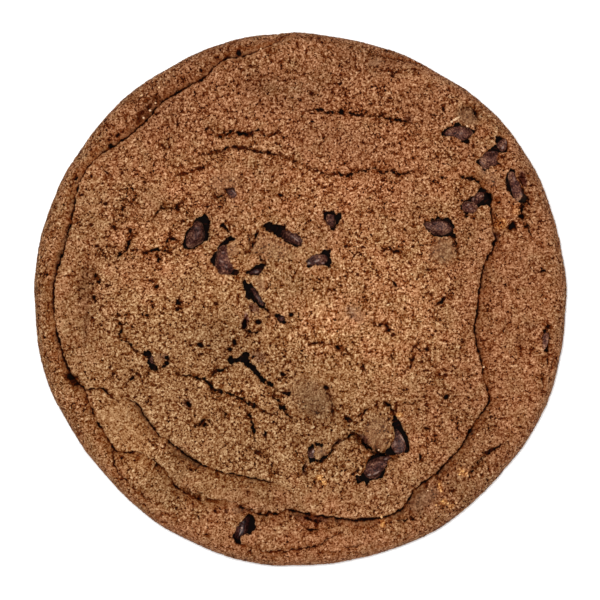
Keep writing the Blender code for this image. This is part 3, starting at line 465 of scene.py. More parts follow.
def scatter(column, row, seed):
    """A fixed random value from 0 to 1 for each pair of whole numbers, made by mixing bits."""
    mixed = column.astype(np.int64) * 73856093 ^ row.astype(np.int64) * 19349663
    mixed = (mixed ^ seed * 83492791) & 0xFFFFFFFF
    mixed = ((mixed ^ (mixed >> 15)) * 0x2C1B3C6D) & 0xFFFFFFFF
    mixed = ((mixed ^ (mixed >> 12)) * 0x297A2D39) & 0xFFFFFFFF
    return (mixed ^ (mixed >> 15)) / 0xFFFFFFFF


def ripple(u, v, size, seed):
    """Smooth random swell, about -1 to 1: a random slope at each corner of a square lattice of
    this size, and an S-curved mix of the four corners' planes between them."""
    column, row = np.floor(u / size), np.floor(v / size)
    across, up = u / size - column, v / size - row
    mix_across = across ** 3 * (across * (across * 6 - 15) + 10)
    mix_up = up ** 3 * (up * (up * 6 - 15) + 10)
    total = np.zeros_like(across)
    for right in (0, 1):
        for above in (0, 1):
            turn = 2 * np.pi * scatter(column + right, row + above, seed)
            plane = np.cos(turn) * (across - right) + np.sin(turn) * (up - above)
            share = (mix_across if right else 1 - mix_across) * (mix_up if above else 1 - mix_up)
            total += plane * share
    return total * 1.5


def granules(u, v, size, seed):
    """Cells: each square of this size holds one random centre. Gives the distances to the nearest
    and second nearest centres, as shares of size, and the nearest cell's own random value."""
    across, up = u / size, v / size
    nearest = np.full(across.shape, 9.0)
    second = np.full(across.shape, 9.0)
    value = np.zeros(across.shape)
    for right in (-1, 0, 1):
        for above in (-1, 0, 1):
            column, row = np.floor(across) + right, np.floor(up) + above
            away = np.hypot(column + scatter(column, row, seed) - across,
                            row + scatter(column, row, seed + 1) - up)
            closer = away < nearest
            second = np.where(closer, nearest, np.minimum(second, away))
            value = np.where(closer, scatter(column, row, seed + 2), value)
            nearest = np.where(closer, away, nearest)
    return nearest, second, value


def curve_through(points, step, closed=False):
    """Points every step or so along a cubic curve through the given ones, whose slope at each is
    its neighbours' chord. Numbers after x and y are carried along in the same way."""
    points = np.array(points, dtype=float)
    if closed:
        points = np.vstack([points[-2:], points, points[:3]])
    pieces = np.hypot(*np.diff(points[:, :2], axis=0).T)
    travel = np.concatenate([[0], np.cumsum(pieces)])
    slope = np.gradient(points, travel, axis=0)
    first, last = (travel[2], travel[-3]) if closed else (0, travel[-1])
    places = np.linspace(first, last, max(3, round((last - first) / step) + 1))
    left = np.clip(np.searchsorted(travel, places, side="right") - 1, 0, len(travel) - 2)
    span = (travel[left + 1] - travel[left])[:, None]
    t = (places - travel[left])[:, None] / span
    rise = points[left] * (1 + 2 * t) * (1 - t) ** 2 + points[left + 1] * t ** 2 * (3 - 2 * t)
    bend = span * (slope[left] * t * (1 - t) ** 2 - slope[left + 1] * t ** 2 * (1 - t))
    return rise + bend


def beside(u, v, path, reach):
    """The points within reach of a path: their numbers, their distances from it, positive on the
    right of travel, how far along it each lies, and the path's unit normal to the right there."""
    low = path[:, :2].min(axis=0) - reach
    high = path[:, :2].max(axis=0) + reach
    near = np.flatnonzero((u > low[0]) & (u < high[0]) & (v > low[1]) & (v < high[1]))
    near_u, near_v = u[near], v[near]
    best = np.full(len(near), reach * reach)
    along = np.full(len(near), -1.0)
    side = np.ones(len(near))
    for piece in range(len(path) - 1):
        start = path[piece, :2]
        step = path[piece + 1, :2] - start
        limit = reach + np.hypot(*step) / 2
        middle = start + step / 2
        here = np.flatnonzero(
            (np.abs(near_u - middle[0]) < limit) & (np.abs(near_v - middle[1]) < limit))
        du, dv = near_u[here] - start[0], near_v[here] - start[1]
        share = np.clip((du * step[0] + dv * step[1]) / (step @ step), 0, 1)
        away = (du - share * step[0]) ** 2 + (dv - share * step[1]) ** 2
        closer = away < best[here]
        found = here[closer]
        best[found] = away[closer]
        along[found] = piece + share[closer]
        side[found] = np.where((du * step[1] - dv * step[0])[closer] < 0, -1, 1)
    kept = along >= 0
    near, along = near[kept], along[kept]
    heading = np.gradient(path[:, :2], axis=0)
    heading /= np.hypot(heading[:, 0], heading[:, 1])[:, None]
    pieces = np.arange(len(path))
    normal_u = np.interp(along, pieces, heading[:, 1])
    normal_v = np.interp(along, pieces, -heading[:, 0])
    return near, np.sqrt(best[kept]) * side[kept], along, normal_u, normal_v


def node_points(name):
    """A CAD piece's points, in millimetres."""
    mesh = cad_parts[name].data
    points = np.empty(len(mesh.vertices) * 3)
    mesh.vertices.foreach_get("co", points)
    return points.reshape(-1, 3) / MM


def read_outline():
    """Angles and radii of the dough's widest line, from the CAD dough's points at that height."""
    points = node_points("cookie_dough")
    points = points[np.abs(points[:, 2] - SIDE_HEIGHT) < 0.02]
    turn = np.arctan2(points[:, 1], points[:, 0])
    radius = np.hypot(points[:, 0], points[:, 1])
    far = radius > 45
    order = np.argsort(turn[far])
    return turn[far][order], radius[far][order]


OUTLINE_TURN, OUTLINE_RADIUS = read_outline()


def outline(turn):
    """Radius of the widest line at an angle."""
    return np.interp(turn, OUTLINE_TURN, OUTLINE_RADIUS, period=2 * np.pi) - OUTLINE_INSET


def side_section():
    """The side's section, by distance along it from the shoulder's start: how far in from the
    widest line, the share of the rise above it or the height below it, and the outward normal.
    The shoulder is a superellipse quarter, and the foot an ellipse quarter."""
    t = np.linspace(0, np.pi / 2, 400)
    power = 2 / SHOULDER_FULLNESS
    inset = -SHOULDER_RUN * (1 - np.sin(t) ** power)
    height = SHOULDER_RISE * np.cos(t) ** power
    foot_inset = -FOOT_RUN * (1 - np.cos(t[1:]))
    foot_height = -SIDE_HEIGHT * np.sin(t[1:])
    inset = np.concatenate([inset, foot_inset])
    height = np.concatenate([height, foot_height])
    travel = np.concatenate([[0], np.cumsum(np.hypot(np.diff(inset), np.diff(height)))])
    out, up = np.gradient(inset, travel), np.gradient(height, travel)
    return travel, inset, height, -up, out


SECTION_TRAVEL, SECTION_INSET, SECTION_HEIGHT, SECTION_OUT, SECTION_UP = side_section()
SIDE_LENGTH = SECTION_TRAVEL[-1]
SHOULDER_LENGTH = np.interp(0, -SECTION_HEIGHT, SECTION_TRAVEL)


def crown_height(x, y):
    """The top without its features: a low dome with broad uneven swells."""
    share = np.hypot(x, y) / outline(np.arctan2(y, x))
    height = CROWN_TOP - CROWN_FALL * share ** 2
    height += SWELL * (np.sin(0.11 * x + 0.8) * np.cos(0.13 * y) - 0.6)
    return height + 0.4 * SWELL * np.sin(0.27 * x - 0.9) * np.sin(0.24 * y + 0.5)


def wrap(u, v, lift):
    """Lay points of the skin on the body: straight up inside the shoulder's start, and by the
    side's section beyond it, then lifted along the normal. Heights stop at the table."""
    turn = np.arctan2(v, u)
    far = np.hypot(u, v)
    edge = outline(turn)
    past = far - (edge - SHOULDER_RUN)
    inset = np.interp(past, SECTION_TRAVEL, SECTION_INSET)
    height = np.interp(past, SECTION_TRAVEL, SECTION_HEIGHT)
    out = np.where(past > 0, np.interp(past, SECTION_TRAVEL, SECTION_OUT), 0)
    up = np.where(past > 0, np.interp(past, SECTION_TRAVEL, SECTION_UP), 1)
    radius = np.where(past > 0, edge + inset, far)
    x, y = radius * np.cos(turn), radius * np.sin(turn)
    rise = (crown_height(x, y) - SIDE_HEIGHT) * np.clip(height / SHOULDER_RISE, 0, 1)
    z = SIDE_HEIGHT + rise + np.minimum(height, 0) + up * lift
    radius = radius + out * lift
    return np.stack([radius * np.cos(turn), radius * np.sin(turn), np.maximum(z, 0)], axis=-1)


def unroll(points):
    """Points seen from above, laid out on the skin: beyond the shoulder's start, the radius
    becomes the distance along the side's section. Further numbers are kept."""
    points = np.array(points, dtype=float)
    turn = np.arctan2(points[:, 1], points[:, 0])
    far = np.hypot(points[:, 0], points[:, 1])
    edge = outline(turn)
    upper = SECTION_TRAVEL <= SHOULDER_LENGTH
    past = np.interp(far - edge, SECTION_INSET[upper], SECTION_TRAVEL[upper])
    radius = np.where(far > edge - SHOULDER_RUN, edge - SHOULDER_RUN + past, far)
    points[:, 0] = radius * np.cos(turn)
    points[:, 1] = radius * np.sin(turn)
    return points


CRUST_FIELDS = ("shade", "film", "amber", "brown", "smear", "baked", "tone", "ruddy", "calm")


class Skin:
    """The crust over a set of skin points. shift_u, shift_v and lift are in millimetres, dark is
    how far inside a hollow a point lies and is painted shade there, the painted shading field is
    a painted shadow on the crust beside a fold or crack and a faint painted highlight on a fold's
    lip, and rough makes edges uneven. The material reads the fields: shade runs from the grain's
    pale tops to its dark hollows, partly the grain's own colour and partly painted shade, film,
    amber, brown and smear are thin layers, baked is the oven's browning near the foot, tone and
    ruddy darken and redden broad areas, the darkening partly painted shade of broad swells, and
    calm makes the grain faint."""

    def __init__(self, u, v):
        self.u, self.v = u.ravel(), v.ravel()
        for name in ("shift_u", "shift_v", "lift", "dark", "soot", *CRUST_FIELDS):
            setattr(self, name, np.zeros(len(self.u)))
        self.rough = 0.17 * ripple(self.u, self.v, 1.1, 5) + 0.12 * ripple(self.u, self.v, 0.5, 6)

    def stir(self, near, size, seed):
        """A ripple at some of the points."""
        return ripple(self.u[near], self.v[near], size, seed)

    def around(self, x, y, length, width, angle, reach, uneven):
        """The points near an ellipse: their numbers, and their distances from its middle, about 1
        at its uneven rim."""
        u, v = unroll([(x, y)])[0]
        near = np.flatnonzero((np.abs(self.u - u) < reach) & (np.abs(self.v - v) < reach))
        away = oval(self.u[near] - u, self.v[near] - v, length, width, angle)
        return near, away + uneven * self.rough[near]

    def push(self, near, move, normal_u, normal_v):
        """Shift points along their normals."""
        self.shift_u[near] += move * normal_u
        self.shift_v[near] += move * normal_v

    def darken(self, field, near, amount):
        """Raise a field to the stronger of what is there and the new amount."""
        values = getattr(self, field)
        values[near] = np.maximum(values[near], amount)

    def fold(self, points, size):
        """A fold: the section carried along a curve, larger or smaller by the strength there,
        with painted shade in its gap, a painted shadow on the crust outside it, a faint painted
        highlight on its lip and a trace of film on its outer edge."""
        path = curve_through(unroll(points), PATH_STEP)
        near, gap, along, *normal = beside(self.u, self.v, path, FOLD_REACH)
        start, across, lift = np.array(FOLD_SECTION).T
        strength = np.interp(along, np.arange(len(path)), path[:, 2])
        strength = strength * np.clip(1 + 0.6 * self.stir(near, 1.7, 7), 0.3, 1.4)
        size = size * np.clip(0.6 + 0.45 * strength, 0.8, None)
        gap = (gap + 1.3 * self.rough[near]) / size
        move = (np.interp(gap, start, across) - gap) * size * np.minimum(strength, 1)
        self.push(near, move, *normal)
        self.lift[near] += np.interp(gap, start, lift) * size * strength
        clear = np.clip(1.25 * strength - 0.05, 0, 1)
        # Painted shade in the fold's gap
        self.darken("dark", near,
                    clear * smooth_step(-0.3, -0.08, gap) * smooth_step(0.75, 0.42, gap))
        # A painted shadow on the crust outside the gap, and a faint painted highlight on the lip
        # inside it
        self.soot[near] += 0.16 * clear * smooth_step(0.2, 0.7, gap) * smooth_step(2.6, 0.9, gap)
        self.soot[near] -= (0.03 * clear * smooth_step(-2.2, -0.9, gap)
                            * smooth_step(-0.1, -0.5, gap))
        self.darken("film", near, 0.3 * smooth_step(0.8, 1.2, strength)
                    * smooth_step(0.3, 0.5, gap) * smooth_step(1.2, 0.7, gap))
        self.darken("calm", near, 0.7 * smooth_step(-0.8, -0.3, gap) * smooth_step(1.4, 0.8, gap))

    def groove(self, path, depth):
        """A crack: a V with a rounded foot, whose third number is the half width. The
        points beside it are drawn in, so that the walls are steep. Its inside is painted dark as
        shade, and the crust just outside it gets a painted shadow."""
        widest = path[:, 2].max()
        near, gap, along, normal_u, normal_v = beside(self.u, self.v, path, CRACK_REACH * widest)
        width = np.interp(along, np.arange(len(path)), path[:, 2])
        width = width * np.clip(1 + 0.75 * self.stir(near, 0.9, 8), 0.45, 1.6)
        share = np.abs(gap + (2.2 * self.rough[near] + 0.1 * self.stir(near, 0.42, 13))) / width
        full = width / widest
        self.lift[near] -= depth * full * np.interp(share, *CRACK_DROP)
        pinch = np.interp(share, *CRACK_PINCH)
        self.shift_u[near] -= np.sign(gap) * normal_u * width * pinch
        self.shift_v[near] -= np.sign(gap) * normal_v * width * pinch
        # Painted shade inside the crack, and a painted shadow on the crust just outside it
        tint = np.interp(share, *CRACK_DARK)
        self.darken("dark", near, 0.96 * tint * np.clip(0.6 + 0.5 * depth, 0, 1) * full ** 0.4)
        self.soot[near] += 0.12 * np.interp(share, *CRACK_SHADOW) * full

    def opening(self, points, depth):
        """An opening over a chip: a steep wall round a closed rim, and a floor, both painted near
        black as shade.
        """
        rim = curve_through(unroll(points), PATH_STEP / 2, closed=True)
        x, y = rim[:, 0], rim[:, 1]
        if np.sum(x[:-1] * y[1:] - x[1:] * y[:-1]) < 0:
            rim = rim[::-1]
        near, gap, _, *normal = beside(self.u, self.v, rim, OPENING_REACH)
        gap = gap + 1.5 * self.rough[near] + 0.15 * self.stir(near, 0.36, 9)
        start, across, share = np.array(OPENING_SECTION).T
        move = np.interp(gap, start, across) - gap
        self.push(near, np.where(gap < start[0], 0, move), *normal)
        drop = np.interp(gap, start, share)
        self.lift[near] -= depth * drop
        # Painted shade on the wall and floor, a little uneven
        mottle = 1.04 + 0.12 * self.stir(near, 0.45, 14)
        self.darken("dark", near, mottle * smooth_step(0.0, 0.65, drop))
        self.darken("calm", near, 0.4 * smooth_step(0.5, 0.1, np.abs(gap - 0.15)))

    def pit(self, x, y, length, width, angle, depth):
        """A pit: a rounded elliptic dent whose middle is painted darker as shade."""
        near, away = self.around(x, y, length, width, angle, max(length, width), 2.0)
        self.lift[near] -= depth * smooth_step(1.3, 0.3, away)
        self.darken("dark", near, smooth_step(1.35, 0.6, away) * np.clip(0.3 + depth, 0, 1))

    def patch(self, field, x, y, length, width, angle, amount):
        """A soft-edged patch of a field. Film also makes the grain fainter."""
        near, away = self.around(x, y, length, width, angle, max(length, width) * 1.2, 2.2)
        amount = amount * smooth_step(1.35, 0.55, away)
        self.darken(field, near, amount)
        if field == "film":
            self.darken("calm", near, 0.5 * amount)

    def region(self, x, y, length, width, angle, calmer, darker, redder):
        """A broad area with a calmer grain and a darker or redder crust, fading outwards. The
        darkening is partly painted shade of broad swells.
        """
        away = oval(self.u - x, self.v - y, length, width, angle)
        share = smooth_step(1.3, 0.4, away + 0.2 * ripple(self.u, self.v, 5.0, 10))
        self.calm = np.maximum(self.calm, calmer * share)
        self.tone += darker * share
        self.ruddy += redder * share

    def grain(self):
        """The sandy grain: ripples of four sizes, short winding furrows where a ripple crosses
        zero, pits in clusters where another is lowest, and a faint crackle along the borders of
        larger cells. Beyond the shoulder's start the grain is drawn out down the side. It sets
        shade and baked too, and thins the film and amber in hollows. Its shade is partly the
        grain's own colour and partly painted shade in its furrows and pits."""
        turn = np.arctan2(self.v, self.u)
        far = np.hypot(self.u, self.v)
        inner = outline(turn) - SHOULDER_RUN
        stretched = np.where(far > inner, inner + 0.75 * (far - inner), far)
        u, v = stretched * np.cos(turn), stretched * np.sin(turn)
        stir_u, stir_v = ripple(u, v, 0.9, 11), ripple(u, v, 0.9, 12)
        u, v = u + 0.2 * stir_u, v + 0.2 * stir_v
        soft = ripple(u, v, 0.52, 41)
        fine = ripple(u, v, 0.29, 42)
        broad = ripple(u, v, 1.5, 43)
        swell = ripple(u, v, 4.0, 44)
        furrow = smooth_step(0.26, 0.02, np.abs(ripple(u, v, 0.66, 45)))
        furrow = furrow * smooth_step(-0.25, 0.35, ripple(u, v, 0.75, 46) - 0.3 * broad)
        fleck = smooth_step(0.24, 0.02, np.abs(ripple(u, v, 0.46, 47)))
        fleck = fleck * smooth_step(-0.1, 0.5, ripple(u, v, 0.6, 48))
        crowd = 0.5 + 0.8 * ripple(u, v, 3.2, 49) + 0.5 * ripple(u, v, 9.0, 50)
        pit = smooth_step(-0.42, -0.78, ripple(u, v, 0.8, 51) - 0.22 * crowd)
        near, second, _ = granules(u + 0.6 * ripple(u, v, 1.6, 52), v, 2.7, 53)
        crackle = smooth_step(0.13, 0.03, second - near)
        crackle = crackle * smooth_step(0.15, 0.6, ripple(u, v, 2.2, 54) + 0.5 * swell)
        bump = 0.07 * soft + 0.045 * fine + 0.05 * broad + 0.07 * swell
        height = bump - 0.1 * furrow - 0.06 * fleck - 0.26 * pit - 0.16 * crackle
        keep = (1 - 0.75 * self.calm) * np.clip(0.9 + 0.4 * ripple(u, v, 6.0, 55), 0.55, 1.2)
        foot = smooth_step(0, 1.5, SIDE_LENGTH - (far - inner))
        self.lift += keep * height * (0.35 + 0.65 * foot)
        shade = -0.25 * soft - 0.17 * fine - 0.06 * broad - 0.02 * swell
        shade = shade + 0.24 * furrow + 0.29 * fleck + 0.36 * pit + 0.26 * crackle
        # Shade: the grain's own, partly painted shade, plus the painted shadow and highlight beside
        # folds and cracks, and never lighter than the painted shade of hollows
        self.shade = np.clip(0.365 + shade * keep + self.soot, 0, 1)
        self.shade = np.maximum(self.shade, self.dark)
        self.film *= 1 - 0.9 * self.dark
        self.amber *= 1 - self.dark
        self.baked = smooth_step(SIDE_LENGTH - 4.5, SIDE_LENGTH - 0.5, far - inner)

    def fields(self):
        """The fields that the material reads."""
        return {name: getattr(self, name) for name in CRUST_FIELDS}


def make_crust(u, v):
    """All of the crust's features over skin points. Gives the laid points and the fields, each
    in the shape of u."""
    skin = Skin(u, v)
    skin.fold(FOLD, 1.0)
    skin.fold(LOWER_FOLD, 0.8)
    for half_width, depth, points in CRACKS:
        path = curve_through(unroll(points), PATH_STEP)
        taper = 0.25 + 0.75 * np.sin(np.pi * np.linspace(0.04, 0.96, len(path))) ** 0.6
        skin.groove(np.column_stack([path, half_width * taper]), depth)
    for depth, points in OPENINGS.values():
        skin.opening(points, depth)
    for pit in PITS:
        skin.pit(*pit)
    for patch in PATCHES:
        skin.patch(*patch)
    for region in REGIONS:
        skin.region(*region)
    skin.grain()
    points = wrap(skin.u + skin.shift_u, skin.v + skin.shift_v, skin.lift)
    fields = {name: value.reshape(u.shape) for name, value in skin.fields().items()}
    return points.reshape(u.shape + (3,)), fields


def disc_grid(steps, radius_at):
    """A square grid bent into a disc: each square ring becomes a ring of the disc, with its
    points evenly turned, out to a radius given by angle. Gives u and v."""
    across, up = np.meshgrid(np.linspace(-1, 1, 2 * steps + 1), np.linspace(-1, 1, 2 * steps + 1),
                             indexing="ij")
    ring = np.maximum(np.abs(across), np.abs(up))
    quarter = np.pi / 4
    sideways = np.where(across >= 0, 0, np.pi) + quarter * up / np.where(across == 0, 1, across)
    upright = np.where(up >= 0, np.pi / 2, -np.pi / 2)
    upright = upright - quarter * across / np.where(up == 0, 1, up)
    turn = np.where(np.abs(across) >= np.abs(up), sideways, upright)
    radius = radius_at(turn) * ring
    return radius * np.cos(turn), radius * np.sin(turn)


def grid_faces(numbers):
    """Quads over a grid of point numbers, turned so that rows to columns is counter-clockwise."""
    return np.stack([numbers[:-1, :-1], numbers[1:, :-1], numbers[1:, 1:], numbers[:-1, 1:]],
                    axis=-1).reshape(-1, 4)


def grid_chart(rows, columns, low, high):
    """Bake-map corners of a grid's quads, spread evenly over a rectangle from low to high."""
    across, up = np.meshgrid(np.linspace(low[0], high[0], rows),
                             np.linspace(low[1], high[1], columns), indexing="ij")
    chart = np.stack([across, up], axis=-1)
    return np.stack([chart[:-1, :-1], chart[1:, :-1], chart[1:, 1:], chart[:-1, 1:]],
                    axis=2).reshape(-1, 4, 2)


def chart_corners(*places):
    """Bake-map corners of many faces at once: each place is a pair, across and up, of an array
    with a number for each face or one number for all of them."""
    columns = np.broadcast_arrays(*[value for place in places for value in place])
    return np.stack(columns, axis=-1).reshape(-1, len(places), 2)


def triangles(first, second, tip):
    """Triangles from two rows of point numbers to one point."""
    return np.stack(np.broadcast_arrays(first, second, tip), axis=-1)


def link(name, data):
    """A new object in the scene, at the origin."""
    made = bpy.data.objects.new(name, data)
    bpy.context.scene.collection.objects.link(made)
    return made


def add_piece(name, points, faces, charts, fields, material, edge=None):
    """A new piece from points in millimetres. Faces and charts are lists of arrays, of corners
    and of their places on the bake map. Edges between points marked in edge are left sharp."""
    mesh = bpy.data.meshes.new(name)
    corners = np.concatenate([part.ravel() for part in faces]).astype(np.int32)
    sizes = np.concatenate([np.full(len(part), part.shape[1]) for part in faces])
    mesh.vertices.add(len(points))
    mesh.vertices.foreach_set("co", (points * MM).astype(np.float32).ravel())
    mesh.loops.add(len(corners))
    mesh.loops.foreach_set("vertex_index", corners)
    mesh.polygons.add(len(sizes))
    mesh.polygons.foreach_set("loop_start", (np.cumsum(sizes) - sizes).astype(np.int32))
    mesh.update(calc_edges=True)
    mesh.shade_smooth()
    chart = np.concatenate([part.reshape(-1, 2) for part in charts]).astype(np.float32)
    mesh.uv_layers.new(name="OFBake").uv.foreach_set("vector", chart.ravel())
    for field, values in fields.items():
        layer = mesh.attributes.new(field, "FLOAT", "POINT")
        layer.data.foreach_set("value", values.astype(np.float32))
    if edge is not None:
        ends = np.empty(len(mesh.edges) * 2, dtype=np.int32)
        mesh.edges.foreach_get("vertices", ends)
        sharp = mesh.attributes.new("sharp_edge", "BOOLEAN", "EDGE")
        sharp.data.foreach_set("value", edge[ends.reshape(-1, 2)].all(axis=1))
    mesh.materials.append(material)
    mesh.validate()
    piece = link(name, mesh)
    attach(piece, "root")
    return piece


def closed_patch(name, points, fields, back_height, material, flip=False):
    """A piece whose face is a square grid of points, closed by straight walls down (or up) to a
    plain back at back_height, a fan about its middle. The hidden parts have small places at the
    foot of the bake map."""
    rows, columns = points.shape[:2]
    numbers = np.arange(rows * columns).reshape(rows, columns)
    border = np.concatenate([numbers[:, 0], numbers[-1, 1:], numbers[-2::-1, -1],
                             numbers[0, -2:0:-1]])
    flat = points.reshape(-1, 3)
    back = flat[border].copy()
    back[:, 2] = back_height
    middle = back.mean(axis=0)[None]
    count = len(border)
    lower = rows * columns + np.arange(count)
    after = np.roll(np.arange(count), -1)
    walls = np.stack([border, lower, lower[after], border[after]], axis=-1)
    faces = [grid_faces(numbers), walls,
             triangles(lower[after], lower, rows * columns + count)]
    spread = np.linspace(MAP_LOW, MAP_HIGH, count + 1)
    left, right = spread[:-1], spread[1:]
    wall_low, wall_high = WALL_STRIP
    back_low, back_high = BACK_STRIP
    charts = [grid_chart(rows, columns, (MAP_LOW, FACE_FLOOR), (MAP_HIGH, MAP_HIGH)),
              chart_corners((left, wall_high), (left, wall_low), (right, wall_low),
                            (right, wall_high)),
              chart_corners((right, back_high), (left, back_high), (0.5, back_low))]
    if flip:
        faces = [part[:, ::-1] for part in faces]
        charts = [part[:, ::-1] for part in charts]
    every = {key: np.concatenate([value.ravel(), value.ravel()[border], [0.5]])
             for key, value in fields.items()}
    edge = np.zeros(rows * columns + count + 1, dtype=bool)
    edge[border] = True
    return add_piece(name, np.vstack([flat, back, middle]), faces, charts, every, material,
                     edge)


def make_top(material):
    """The crown and rim, out to the shoulder's start, as four quarters of one disc grid."""
    u, v = disc_grid(TOP_STEPS, lambda turn: outline(turn) - SHOULDER_RUN)
    points, fields = make_crust(u, v)
    low, high = slice(0, TOP_STEPS + 1), slice(TOP_STEPS, 2 * TOP_STEPS + 1)
    quarters = {"crust_northeast": (high, high), "crust_northwest": (low, high),
                "crust_southwest": (low, low), "crust_southeast": (high, low)}
    made = []
    for name, (rows, columns) in quarters.items():
        part = {key: value[rows, columns] for key, value in fields.items()}
        made.append(closed_patch(name, points[rows, columns], part, TOP_BACK, material))
    return made, points.reshape(-1, 3)


def make_side(material):
    """The shoulder, side and foot as two half rings. Rows run from the shoulder's start to the
    table, and each half is closed by a plain back and an end fan at each end."""
    columns = 8 * TOP_STEPS
    turn = np.linspace(0, 2 * np.pi, columns + 1)
    past = np.linspace(0, SIDE_LENGTH, SIDE_ROWS + 1)
    past, turn = np.meshgrid(past, turn, indexing="ij")
    far = outline(turn) - SHOULDER_RUN + past
    points, fields = make_crust(far * np.cos(turn), far * np.sin(turn))
    points[:, -1] = points[:, 0]
    for value in fields.values():
        value[:, -1] = value[:, 0]
    odd = slice(1, columns, 2)
    points[-1, odd] = (points[-1, 0:columns - 1:2] + points[-1, 2:columns + 1:2]) / 2
    made = []
    for half, name in enumerate(("side_north", "side_south")):
        part = slice(half * columns // 2, (half + 1) * columns // 2 + 1)
        made.append(half_ring(name, points[:, part], {k: f[:, part] for k, f in fields.items()},
                              material))
    return made, points[-1, :-1]


def half_ring(name, points, fields, material):
    """One half of the side, closed by a back at SIDE_BACK and an end fan at each end. The bake
    map holds its face as SIDE_BANDS bands, and the rest at the edges."""
    rows, columns = points.shape[:2]
    numbers = np.arange(rows * columns).reshape(rows, columns)
    spine = points[0].copy()
    spine[:, :2] *= SIDE_BACK_SHARE
    spine[:, 2] = SIDE_BACK
    back = rows * columns + np.arange(columns)
    rims = [np.stack([back[:-1], back[1:], numbers[0, 1:], numbers[0, :-1]], axis=-1)[:, ::-1],
            np.stack([numbers[-1, :-1], numbers[-1, 1:], back[1:], back[:-1]], axis=-1)[:, ::-1]]
    faces = [grid_faces(numbers)[:, ::-1], *rims,
             triangles(numbers[:-1, 0], numbers[1:, 0], back[0]),
             triangles(numbers[1:, -1], numbers[:-1, -1], back[-1])]
    width = (columns - 1) // SIDE_BANDS
    column = np.tile(np.arange(columns - 1), rows - 1)
    row = np.repeat(np.arange(rows - 1), columns - 1)
    band = column // width
    places = []
    for row_step, column_step in ((0, 0), (1, 0), (1, 1), (0, 1)):
        across = MAP_LOW + BAND_WIDTH * (column + column_step - band * width) / width
        up = BAND_FLOOR + BAND_STEP * band + BAND_HEIGHT * (row + row_step) / (rows - 1)
        places.append((across, up))
    charts = [chart_corners(*places)[:, ::-1],
              grid_chart(2, columns, (0.01, 0.01), (0.03, 0.97))[:, :, ::-1],
              grid_chart(2, columns, (0.05, 0.01), (0.07, 0.97))[:, :, ::-1]]
    spread = np.linspace(0.1, 0.5, rows)
    for base in (0.0, 0.45):
        charts.append(chart_corners((0.98, base + spread[:-1]), (0.98, base + spread[1:]),
                              (0.995, base + 0.3)))
    every = {key: np.concatenate([value.ravel(), value[0]]) for key, value in fields.items()}
    edge = np.zeros(rows * columns + columns, dtype=bool)
    edge[numbers[0]] = edge[numbers[-1]] = True
    edge[numbers[:, 0]] = edge[numbers[:, -1]] = True
    return add_piece(name, np.vstack([points.reshape(-1, 3), spine]), faces, charts, every,
                     material, edge)


def make_base(material, rim):
    """The underside: a disc whose edge is the foot's, a little hollow in the middle, with fine
    pores and shallow wrinkles from the tray."""
    turn = np.arctan2(rim[::2, 1], rim[::2, 0])
    radius = np.hypot(rim[::2, 0], rim[::2, 1])
    order = np.argsort(turn)
    turn, radius = turn[order], radius[order]
    u, v = disc_grid(BASE_STEPS, lambda angle: np.interp(angle, turn, radius, period=2 * np.pi))
    share = np.maximum.outer(np.abs(np.linspace(-1, 1, 2 * BASE_STEPS + 1)),
                             np.abs(np.linspace(-1, 1, 2 * BASE_STEPS + 1)))
    inner = smooth_step(1.0, 0.93, share)
    near, second, value = granules(u + 0.3 * ripple(u, v, 1.6, 51), v, 1.5, 52)
    pore = smooth_step(0.42, 0.16, near) * (value > 0.55)
    seam = smooth_step(0.14, 0.02, second - near) * np.clip(ripple(u, v, 5.0, 53) * 1.6, 0, 1)
    swell = 0.5 + 0.5 * ripple(u, v, 9.0, 54)
    fine = ripple(u, v, 0.8, 55)
    z = inner * (0.14 * swell + 0.04 * (fine + 1) + 0.3 * pore + 0.12 * seam)
    shade = np.clip(0.35 + 0.18 * fine + 0.5 * pore + 0.35 * seam + 0.25 * (0.5 - swell), 0, 1)
    points = np.stack([u, v, np.clip(z, 0, None)], axis=-1)
    plain = np.zeros_like(shade)
    fields = {name: plain for name in CRUST_FIELDS} | {"shade": shade, "baked": plain + 1}
    return closed_patch("crust_base", points, fields, BASE_BACK, material, flip=True)


